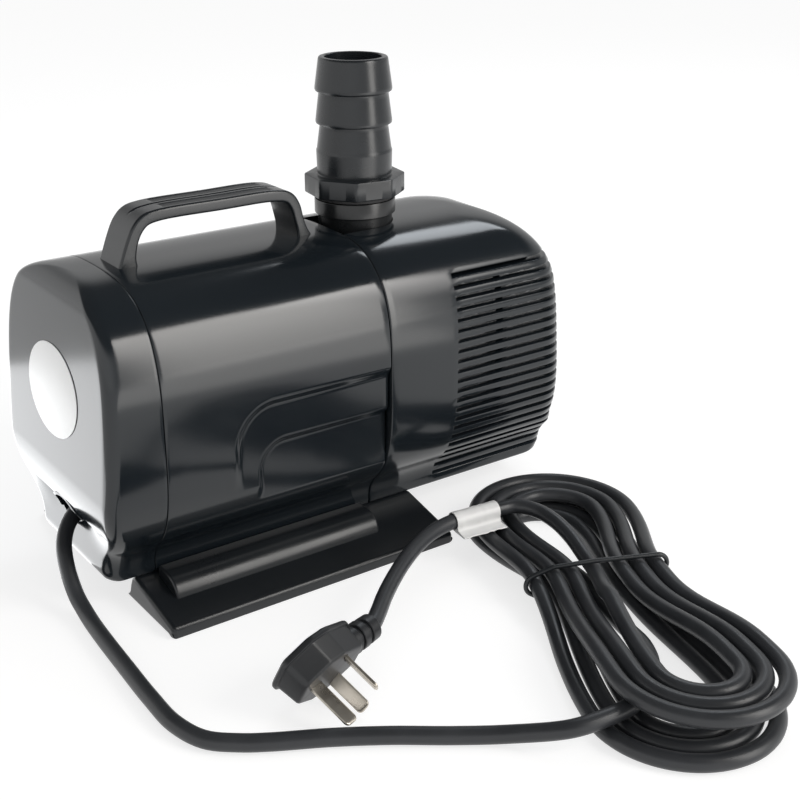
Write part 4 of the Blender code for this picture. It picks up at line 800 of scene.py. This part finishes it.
# Hose tail: a satin black turned moulding screwed into the collar by hand at its eight-sided flange,
# with a threaded spigot below and three barbs above that hold a hose.
FLATS, CORNER_POWER = 46.5, 110.0
TAIL_BORE_R = 14.05
THREAD_PITCH, THREAD_ROOT_R, THREAD_RISE = 2.309, 15.55, 0.85
barb = np.vstack([[(178.0, 19.1)], np.linspace((178.6, 18.62), (189.0, 18.9), 9),
                  [(189.8, 18.88), (190.5, 18.55)], np.linspace((191.2, 18.45), (202.0, 16.95), 9),
                  [(202.5, 17.05), (202.9, 18.2), (203.2, 18.72), (203.8, 18.92), (204.6, 18.88)],
                  np.linspace((205.4, 18.78), (217.3, 17.25), 9),
                  [(218.0, 17.3), (218.5, 18.3), (218.9, 18.85), (219.6, 19.05), (220.5, 19.0)],
                  np.linspace((221.3, 18.9), (233.6, 17.16), 9),
                  [(234.4, 16.95), (234.85, 16.55), (235.0, 16.0), (235.0, 14.5), (234.6, TAIL_BORE_R)]])
thread_z = np.linspace(153.4, 168.0, 60)
flange = np.array([(168.4, 0.9), (168.55, 0.35), (169.1, 0.0), (177.3, 0.0), (177.8, 0.2), (178.0, 0.75)])
tail_z = np.r_[152.5, 152.6, thread_z, 168.4, flange[:, 0], barb[:, 0], 152.5]


def tail_radius(angle):
    """Radius for each angle and height: spigot with a helical thread, flange with eight flats whose
    corners are rounded by a high power mean, and the round barbs."""
    flats = np.cos(angle + np.radians(54.5) + np.radians(45.0) * np.arange(8))
    eight = (np.maximum(flats, 0.0) ** CORNER_POWER).sum(axis=1, keepdims=True) ** (-1.0 / CORNER_POWER)
    cut = np.abs(((thread_z - THREAD_PITCH * angle / (2.0 * np.pi)) / THREAD_PITCH) % 1.0 - 0.5) * 2.0
    fade = ease((thread_z - 153.4) / 1.2) * ease((167.6 - thread_z) / 1.6)
    thread = THREAD_ROOT_R + THREAD_RISE * fade * ease((cut - 0.18) / 0.64)
    flat = np.ones_like(angle)
    return np.hstack([TAIL_BORE_R * flat, 15.0 * flat, thread, THREAD_ROOT_R * flat,
                      0.5 * FLATS * eight - flange[:, 1], barb[:, 1] * flat, TAIL_BORE_R * flat])


tail_black = finish_of("tail_black_moulding", (0.0100, 0.0122, 0.0145), (0.0145, 0.0172, 0.0200),
                       (0.24, 0.31), tooth_scale=1300.0, bump=0.06, scuffs=0.35, cloud_scale=20.0,
                       ior=1.52)
heights = np.column_stack([tail_z, np.zeros(len(tail_z))])
hose_tail = turned("hose_tail_moulding", heights, 240, tail_black, radius=tail_radius, sharp=32.0)
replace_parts(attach(hose_tail, "hose_tail"), "hose_tail")

# Power cord: a round black rubber mains lead, 7.5 mm thick.  It drops out of the slit, runs round on
# the floor into a hank of six loops and comes off the top of it to the plug.
CORD_D = 7.5
CORD_SIDES, CORD_STEP = 20, 2.4
HANK_TURNS = 5.9
HANK_WAIST = 5.5
HANK_STEP, HANK_LAYER = 8.7, 8.1
CORD_REST_Z, HANK_REST_Z = 4.05, 3.95
HANK_SPOT = np.array([181.0, -159.0])
HANK_ALONG = unit(np.array([-0.375, -0.927]))
HANK_ACROSS = np.array([-HANK_ALONG[1], HANK_ALONG[0]])


def on_hank(u, v, z):
    """Plan coordinates along and across the hank, and height, to the base's own frame."""
    u, v = np.asarray(u, dtype=float)[:, None], np.asarray(v, dtype=float)[:, None]
    plan = HANK_SPOT + u * HANK_ALONG + v * HANK_ACROSS
    return np.hstack([plan, np.asarray(z, dtype=float)[:, None]])


def fold(mid, bend):
    """Quarter of a loop: eased from the waist to the bend's width, then a quarter circle."""
    u = np.linspace(0.0, mid, 200)
    turn = np.linspace(0.0, np.pi / 2.0, 200)[1:]
    wide = HANK_WAIST + (bend - HANK_WAIST) * (1.0 - np.cos(np.pi * u / mid)) / 2.0
    return np.r_[u, mid + bend * np.sin(turn)], np.r_[wide, bend * np.cos(turn)]


def hank_turns(per_turn):
    """Six loops, three spiralling out on the floor and three in above them: the innermost loop
    moved out along its normal by one step a turn, fanned sideways and lifted a layer halfway."""
    s = np.linspace(0.0, HANK_TURNS, int(round(HANK_TURNS * per_turn)) + 1)
    far_u, far_v = fold(63.0, 16.0)
    low_u, low_v = fold(93.0, 15.0)
    u = np.r_[-far_u, -far_u[::-1][1:], low_u[1:], low_u[::-1][1:]]
    v = np.r_[-far_v, far_v[::-1][1:], low_v[1:], -low_v[::-1][1:]]
    run = np.r_[0.0, np.cumsum(np.hypot(np.diff(u), np.diff(v)))]
    f = np.linspace(0.0, 1.0, 721)
    u, v = np.interp(f, run / run[-1], u), np.interp(f, run / run[-1], v)
    du = np.gradient(np.r_[u[-3:-1], u, u[1:3]])[2:-2]
    dv = np.gradient(np.r_[v[-3:-1], v, v[1:3]])[2:-2]
    size = np.hypot(du, dv)
    out = HANK_STEP * (3.0 - np.abs(s - 3.0))
    u = np.interp(s % 1.0, f, u) + np.interp(s % 1.0, f, -dv / size) * out
    v = np.interp(s % 1.0, f, v) + np.interp(s % 1.0, f, du / size) * out
    upper = ease((s - 2.86) / 0.24)
    v = v + 6.0 * upper * ease((u - 10.0) / 110.0) - 8.0 * (1.0 - upper) * ease((-u - 5.0) / 90.0)
    ramp = np.where(s > 5.75, 1.0, ease((u - 15.0) / 65.0))
    heaped = 2.6 * np.exp(-(u / 28.0) ** 2)
    return on_hank(u, v, HANK_REST_Z + heaped + HANK_LAYER * upper * (1.0 + ramp))


def eased_route(points):
    """Smooth line through the route with its first and last stretches kept straight."""
    p = np.asarray(points, dtype=float)
    line = smooth_line(p, 0.4)
    head = np.linalg.norm(line - p[1], axis=1).argmin()
    tail = np.linalg.norm(line - p[-2], axis=1).argmin()
    return np.vstack([p[:1], line[head:tail + 1], p[-1:]])


PLUG_SPOT = np.array([29.9, -161.6, 17.8])
pin_way = unit(np.array([0.272, -0.849, -0.452]))
cord_way = np.array([0.955, 0.298, 0.016])
cord_way = unit(cord_way - pin_way * cord_way.dot(pin_way))
plug_axes = np.array([cord_way, np.cross(pin_way, cord_way), pin_way])
turns = hank_turns(220)
start, stop = unit(turns[[0, -1]] - turns[[1, -2]])
lead = [(28, 0, 43), (18, 0, 43), (8, 0, 42.6), (-3.5, -0.5, 41), (-11.5, -2.9, 37.8),
        (-17.4, -6.6, 34.4), (-21.3, -10.7, 30.6), (-23.6, -14.6, 26.4), (-24.8, -19.2, 20.4),
        (-25.3, -24.4, 14.2), (-25.5, -30.4, 9.2), (-25.5, -37.5, 6.2), (-25.9, -46, 4.5)]
on_floor = [(-27, -62), (-28.6, -90), (-29.8, -115), (-29.6, -137), (-24.6, -153), (-14.3, -162.8),
            (-4.5, -169.2), (16.4, -180.6), (36.2, -193.1), (56, -207.4)]
lead += [(x, y, CORD_REST_Z) for x, y in on_floor] + [(73, -220.4, 5.2)]
over = on_hank([107.2, 106.3, 100, 88.4, 75, 57, 36, 18],
               [-54.5, -41.7, -25.8, -13.7, -6.3, -2.2, -3.4, -4.8],
               [10.8, 12.2, 12.2, 12.2, 11.6, 9.6, 7.4, 6.7])
lead = eased_route(np.vstack([lead, over, turns[0] + start * 7.8, turns[0] + start * 0.3]))
tail = on_hank([26, 12, 0, -14, -28, -41, -52, -58.4, -57, -53.2, -49.4],
               [-8, -5, -3, -3, -4.5, -8, -13.6, -22.6, -33.5, -46, -58.5],
               [19.6, 16.6, 15.1, 15.7, 18.2, 20.4, 21.4, 21.9, 22, 22, 22])
tape_from, tape_mid, tape_to = tail[-3:]
sleeve_in = PLUG_SPOT + np.array([(33.0, 0.0, -7.0), (25.0, 0.0, -7.0)]) @ plug_axes
to_plug = [(131, -93.6, 21.5), (118, -99.3, 21.1), (104.7, -107.6, 20.9), (90.2, -118.6, 20.9),
           (78, -129.1, 21), (68.6, -138.2, 21.3)]
tail = eased_route(np.vstack([turns[-1] + stop * 0.3, turns[-1] + stop * 7.8, tail, to_plug, sleeve_in]))
whole = np.vstack([lead, turns, tail])
run = np.r_[0.0, np.cumsum(np.linalg.norm(np.diff(whole, axis=0), axis=1))]
cord_length = run[-1]
at = np.linspace(0.0, cord_length, int(round(cord_length / CORD_STEP)) + 1)
cord_line = np.stack([np.interp(at, run, whole[:, k]) for k in range(3)], axis=-1)


def tube_along(line, radius, sides):
    """Circle carried along a line that is never upright, spot = line + radius (across cos + up sin), with
    the ends closed to their middles."""
    ahead = unit(np.gradient(line, axis=0))
    across = unit(np.cross(ahead, (0.0, 0.0, 1.0)))
    up = np.cross(across, ahead)
    turn = circle(sides)[None, :, None]
    return capped(line[:, None] + radius * (across[:, None] * np.cos(turn) + up[:, None] * np.sin(turn)))


grid = tube_along(cord_line, CORD_D / 2.0, CORD_SIDES)
around = (np.arange(CORD_SIDES)[:, None] + np.array([0, 1, 1, 0])) / CORD_SIDES
along = np.r_[0.0, at, at[-1]] * 0.001
along = np.stack([along[:-1], along[:-1], along[1:], along[1:]], axis=-1)[:, None]
uv = np.stack(np.broadcast_arrays(around, along), axis=-1)
cord_rubber = finish_of("cord_rubber", (0.022, 0.0238, 0.0270), (0.037, 0.0395, 0.044), (0.32, 0.44),
                        tooth_scale=1600.0, bump=0.12, scuffs=0.7, cloud_scale=30.0)
tree = cord_rubber.node_tree
drawn = tree.nodes.new("ShaderNodeUVMap")
drawn.uv_map = "along"
lines = joined(tree, "ShaderNodeMapping", {"Vector": drawn.outputs[0]}, Scale=(60.0, 2.0, 1.0))
draw_marks = joined(tree, "ShaderNodeTexNoise", {"Vector": lines.outputs[0]}, Scale=1.0, Detail=3.0)
height_in = tree.nodes["Bump"].inputs["Height"]
marked = maths(tree, "ADD", draw_marks.outputs["Fac"], height_in.links[0].from_socket)
tree.links.new(marked, height_in)
cord = surface("power_cord", grid, cord_rubber, 60.0, uv=uv)
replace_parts(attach(cord, "pump"),
            "power_cord_lead", "power_cord_hank", "power_cord_tail")

# Cord tie: a plain black plastic-covered wire, 2.3 mm thick, bent once round the waist of the hank, a
# third of a millimetre clear of the outer strands.
TIE_R, TIE_SIDES, TIE_SLACK = 1.15, 12, 0.35
STRANDS = ((26.8, 6.5), (27.9, 14.7), (-3.0, 15.3), (-23.0, 14.7), (-31.7, 11.6), (-23.0, 6.5))


def taut(centres, radius, count, phase=0.0):
    """Outline pulled tight round circles: for each direction the farthest centre that way, and from it
    one radius further."""
    turn = (np.arange(count) + phase) * 2.0 * np.pi / count
    way = np.stack([np.cos(turn), np.sin(turn)], axis=-1)
    farthest = np.asarray(centres)[np.argmax(way @ np.asarray(centres).T, axis=1)]
    return farthest + np.asarray(radius)[..., None, None] * way


wrap = taut(STRANDS, CORD_D / 2.0 + TIE_SLACK + TIE_R, 108)
tie_line = on_hank(np.full(len(wrap), 1.0), wrap[:, 0], wrap[:, 1])
ahead = unit(np.roll(tie_line, -1, axis=0) - np.roll(tie_line, 1, axis=0))
level = np.r_[HANK_ALONG, 0.0]
out = np.cross(ahead, level)
turn = circle(TIE_SIDES)[None, :, None]
ring = tie_line[:, None] + TIE_R * (level * np.cos(turn) + out[:, None] * np.sin(turn))
tie = surface("hank_tie", ring, satin_black, 60.0, True)
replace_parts(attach(tie, "pump"), "cord_tie")

# Marking tape: a strip of white plastic tape folded round the tail of the cord, its two ends pressed
# together into a short flag; left bare.
TAPE_LENGTH, TAPE_ROWS = 25.0, 26
TAPE_OUT_R, TAPE_IN_R = 4.75, 4.2
tape_run = unit(tape_to - tape_from)
tape_side = unit(np.cross(tape_run, (0.0, 0.0, 1.0)))
tape_up = np.cross(tape_side, tape_run)
flag = np.array([(1.2, -4.86), (2.5, -5.0), (5.0, -5.12), (8.0, -5.2), (10.4, -5.2), (10.75, -5.0),
                 (10.8, -4.75), (10.6, -4.5), (8.0, -4.3), (5.9, -4.0), (4.9, -3.0)])
outside = np.vstack([arc(0.0, 0.0, TAPE_OUT_R, -20.0, 262.0, 48), flag])
inside = np.vstack([arc(0.0, 0.0, TAPE_IN_R, -20.0, 262.0, 48),
                    arc(0.0, 0.0, TAPE_IN_R, 264.0, 336.0, len(flag))])
along = np.linspace(-TAPE_LENGTH / 2.0, TAPE_LENGTH / 2.0, TAPE_ROWS)
puckers = 0.10 * np.sin(0.9 * along + 2.0 * np.cos(0.4 * along))[:, None, None]
flat = np.concatenate([outside * (1.0 + puckers / TAPE_OUT_R),
                       np.broadcast_to(inside, (TAPE_ROWS,) + inside.shape)])
along = np.r_[along, along[::-1]]
grid = tape_mid + along[:, None, None] * tape_run - flat[:, :, :1] * tape_side + flat[:, :, 1:] * tape_up
tape_white = finish_of("white_tape", (0.74, 0.74, 0.735), (0.82, 0.82, 0.815), (0.28, 0.40),
                       tooth_scale=700.0, bump=0.10, cloud_scale=60.0)
tape = surface("marking_tape", grid, tape_white, 40.0, True)
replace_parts(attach(tape, "pump"), "cord_tape")

# Plug: a satin black right-angle moulding over the pins, six-sided with rounded corners, with a lipped
# back and a slotted sleeve that holds the cord.
PLUG_CORNERS = np.array([(-15.0, 4.5), (-6.0, 9.6), (1.0, 9.6), (14.0, 4.0)])
PLUG_ROUND, PLUG_POINTS = 4.0, 120
SLEEVE_P, SLEEVE_POINTS = -7.0, 48
PINS = (("plug_pin_earth", -10.3, 0.0, 0.0, 21.0), ("plug_pin_a", 5.0, 7.2, 120.0, 18.0),
        ("plug_pin_b", 5.0, -7.2, 60.0, 18.0))
plug_black = finish_of("plug_black_moulding", (0.0135, 0.0148, 0.0170), (0.0215, 0.0232, 0.0260),
                       (0.36, 0.46), tooth_scale=1000.0, bump=0.12, scuffs=0.6, cloud_scale=26.0)


def on_plug(e, w, p):
    """Plug coordinates along the cord, across and along the pins, to the base's own frame."""
    return PLUG_SPOT + np.stack(np.broadcast_arrays(e, w, p), axis=-1) @ plug_axes


def sleeved(name, steps):
    """Steps of (along, radius) turned about the cord's line in the plug."""
    steps = np.array(steps)
    turn = circle(SLEEVE_POINTS)
    grid = on_plug(steps[:, :1], steps[:, 1:] * np.cos(turn), SLEEVE_P + steps[:, 1:] * np.sin(turn))
    return surface(name, grid, None)


def flat_pin(name, e, w, angle, length, half_w, half_t, root, mat):
    """Flat pin: a rounded oblong carried from its root to a tip that narrows in both ways."""
    rows = np.array([(root, 0.0, 0.0), (root, 1.0, 1.0), (length - 1.9, 1.0, 1.0),
                     (length - 1.2, 0.95, 0.94), (length - 0.5, 0.80, 0.78), (length - 0.1, 0.58, 0.5),
                     (length, 0.4, 0.3), (length, 0.0, 0.0)])
    turn = circle(40)
    a = rows[:, 1:2] * half_w * power(np.cos(turn), 2.0 / 7.0)
    b = rows[:, 2:3] * half_t * power(np.sin(turn), 2.0 / 7.0)
    c, s = np.cos(np.radians(angle)), np.sin(np.radians(angle))
    grid = on_plug(e + c * a - s * b, w + s * a + c * b, rows[:, :1])
    return surface(name, grid, mat, 50.0)


rings = np.array([(0.0, 2.2, 0.0), (0.0, 2.2, 1.0), (-0.15, 1.3, 1.0), (-0.5, 0.75, 1.0),
                  (-1.2, 0.35, 1.0), (-10.7, -0.55, 1.0), (-11.0, -0.75, 1.0), (-11.15, -1.5, 1.0),
                  (-11.45, -1.85, 1.0), (-12.2, -1.95, 1.0), (-13.0, -1.85, 1.0), (-13.7, -1.2, 1.0),
                  (-14.4, 0.2, 1.0), (-14.9, 1.8, 1.0), (-15.2, 3.4, 1.0), (-15.2, 3.4, 0.0)])
corners = np.vstack([PLUG_CORNERS, PLUG_CORNERS * (1.0, -1.0)])
outline = taut(corners, PLUG_ROUND - rings[:, 1], PLUG_POINTS, 0.5) * rings[:, 2, None, None]
grid = on_plug(outline[:, :, 0], outline[:, :, 1], rings[:, :1])
plug = surface("plug_moulding", grid, plug_black)
sleeve = sleeved("sleeve_tool", [(11.0, 0.0), (11.0, 6.4), (20.2, 6.4), (20.6, 6.1), (20.7, 5.2), (22.4, 5.2),
                                 (22.5, 6.0), (22.8, 6.3), (25.8, 6.3), (26.2, 6.0), (26.3, 5.1),
                                 (28.0, 5.1), (28.1, 5.8), (28.4, 6.1), (32.9, 5.9), (33.4, 5.4),
                                 (33.4, 0.0)])
inside = sleeved("sleeve_bore_tool", [(24.6, 0.0), (24.6, 4.1), (50.0, 4.1), (50.0, 0.0)])
tools = [(sleeve, "UNION"), (inside, "DIFFERENCE")]
for name, e, w, angle, size in PINS:
    tools.append((flat_pin(name + "_seat", e, w, angle, size, 3.4, 1.0, -5.4, None), "DIFFERENCE"))
worked(plug, tools)
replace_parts(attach(plug, "pump"), "plug_body")

# Plug pins: three flat brass pins, nickel plated and lightly rubbed by use, moulded into the plug with
# their tips narrowed.
plated = finish_of("plated_brass", (0.55, 0.50, 0.43), (0.64, 0.60, 0.53), (0.24, 0.36), metal=1.0,
                   tooth_scale=1800.0, bump=0.08, scuffs=0.8, cloud_scale=80.0)
for name, e, w, angle, size in PINS:
    pin = flat_pin(name + "_plated", e, w, angle, size, 3.17, 0.78, -5.0, plated)
    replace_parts(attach(pin, "pump"), name)

# Studio: the camera stands to the left of the rear cover and looks a little down on a plain white floor.
# Two tall soft boxes on the right, brightest at their tops, light the near flank, a strip overhead the
# shoulder, and two cards on the floor the lower flank and the rear face.
camera = bpy.data.objects.new("camera", bpy.data.cameras.new("camera"))
camera.location = np.array([-0.21464, -0.55118, 0.3297]) + BASE_REAR
camera.rotation_euler = np.radians([67.4, 0.0, -35.53])
camera.data.sensor_width = 36.0
camera.data.lens = 60.165
camera.data.clip_start = 0.01
bpy.context.scene.collection.objects.link(camera)
bpy.context.scene.camera = camera


def panel(name, spot, aim, size, radiance, colour, facing=(0.0, 1.0, 0.0), fall=1.0):
    """Area light of a given brightness, facing a point and hidden from the camera itself; its brightness
    falls evenly to the share fall at its lower edge."""
    lamp = bpy.data.lights.new(name, "AREA")
    lamp.shape = "RECTANGLE"
    lamp.size, lamp.size_y = size
    lamp.energy = radiance * np.pi * size[0] * size[1]
    lamp.color = colour
    obj = bpy.data.objects.new(name, lamp)
    back = unit(np.array(spot) - np.array(aim))
    right = unit(np.cross((0.0, 0.0, 1.0) if abs(back[2]) < 0.95 else facing, back))
    matrix = np.eye(4)
    matrix[:3, :3] = np.column_stack([right, np.cross(back, right), back])
    matrix[:3, 3] = spot
    obj.matrix_world = Matrix(matrix.tolist())
    obj.visible_camera = False
    bpy.context.scene.collection.objects.link(obj)
    lamp.use_nodes = True
    tree = lamp.node_tree
    spread = tree.nodes.new("ShaderNodeNewGeometry").outputs["Parametric"]
    height = joined(tree, "ShaderNodeSeparateXYZ", {0: spread}).outputs["Y"]
    tree.links.new(ranged(tree, height, to_low=fall), tree.nodes["Emission"].inputs["Strength"])


panel("soft_box_right", (0.66, -1.377, 0.775), (0.0, -0.06, 0.775), (0.44, 1.55), 8.4, (1.0, 0.975, 0.94),
      fall=0.43)
panel("soft_box_high", (0.982, -1.216, 0.90), (0.322, 0.101, 0.90), (0.28, 1.00), 11.0, (1.0, 0.98, 0.95),
      fall=0.0)
panel("floor_card_right", (0.29, -0.88, 0.004), (0.29, -0.88, 1.0), (0.50, 0.98), 1.7,
      (1.0, 0.98, 0.95), (-0.5, 0.86, 0.0))
panel("strip_overhead", (0.927, 0.506, 1.16), (0.127, -0.154, 0.12), (0.5, 0.36), 4.8, (0.90, 0.95, 1.0))
panel("floor_card_rear", (-0.21, 0.165, 0.004), (-0.21, 0.165, 1.0), (0.24, 0.33), 2.4, (0.97, 0.985, 1.0))


def seen_white(tree):
    """Factor that is one for camera, glossy and transmission rays, and one for camera rays alone."""
    path = tree.nodes.new("ShaderNodeLightPath")
    seen = maths(tree, "MAXIMUM", path.outputs["Is Camera Ray"], path.outputs["Is Glossy Ray"])
    seen = maths(tree, "MAXIMUM", seen, path.outputs["Is Transmission Ray"])
    return seen, path.outputs["Is Camera Ray"]


world = bpy.data.worlds.new("studio")
bpy.context.scene.world = world
world.use_nodes = True
tree = world.node_tree
seen, by_camera = seen_white(tree)
sky_way = tree.nodes.new("ShaderNodeTexCoord").outputs["Generated"]
sky_way = joined(tree, "ShaderNodeSeparateXYZ", {0: sky_way})
rise = ranged(tree, sky_way.outputs["Z"], 0.36, 0.62, 1.0, 0.12, interpolation_type="SMOOTHSTEP")
turn_away = ranged(tree, sky_way.outputs["X"], -0.75, 0.35, 1.15, 0.64, interpolation_type="SMOOTHSTEP")
sky = maths(tree, "MAXIMUM", maths(tree, "MULTIPLY", rise, turn_away), by_camera)
bright = joined(tree, "ShaderNodeMix", {0: seen, 3: sky}, data_type="FLOAT")
bright.inputs[2].default_value = 0.55
tree.links.new(bright.outputs[0], tree.nodes["Background"].inputs["Strength"])
tree.nodes["Background"].inputs["Color"].default_value = (1.0, 1.0, 1.0, 1.0)

floor_white = bpy.data.materials.new("floor_white")
floor_white.use_nodes = True
tree = floor_white.node_tree
tree.nodes.clear()
seen = seen_white(tree)[0]
glow = joined(tree, "ShaderNodeEmission", {}, Strength=0.72)
soft = joined(tree, "ShaderNodeBsdfDiffuse", {}, Color=(0.42, 0.42, 0.42, 1.0))
dull = joined(tree, "ShaderNodeBsdfDiffuse", {}, Color=(0.8, 0.8, 0.8, 1.0))
shown = joined(tree, "ShaderNodeAddShader", {0: glow.outputs[0], 1: soft.outputs[0]})
mixed = joined(tree, "ShaderNodeMixShader", {0: seen, 1: dull.outputs[0], 2: shown.outputs[0]})
joined(tree, "ShaderNodeOutputMaterial", {"Surface": mixed.outputs[0]})
spread = np.linspace(-6000.0, 6000.0, 5)
grid = np.stack(np.meshgrid(spread, spread, [-0.05], indexing="ij"), axis=-1)[:, :, 0]
floor = surface("studio_floor", grid, floor_white, quads=ring_quads(5, 5, wrap_cols=False))
bpy.context.scene.view_settings.view_transform = "Standard"
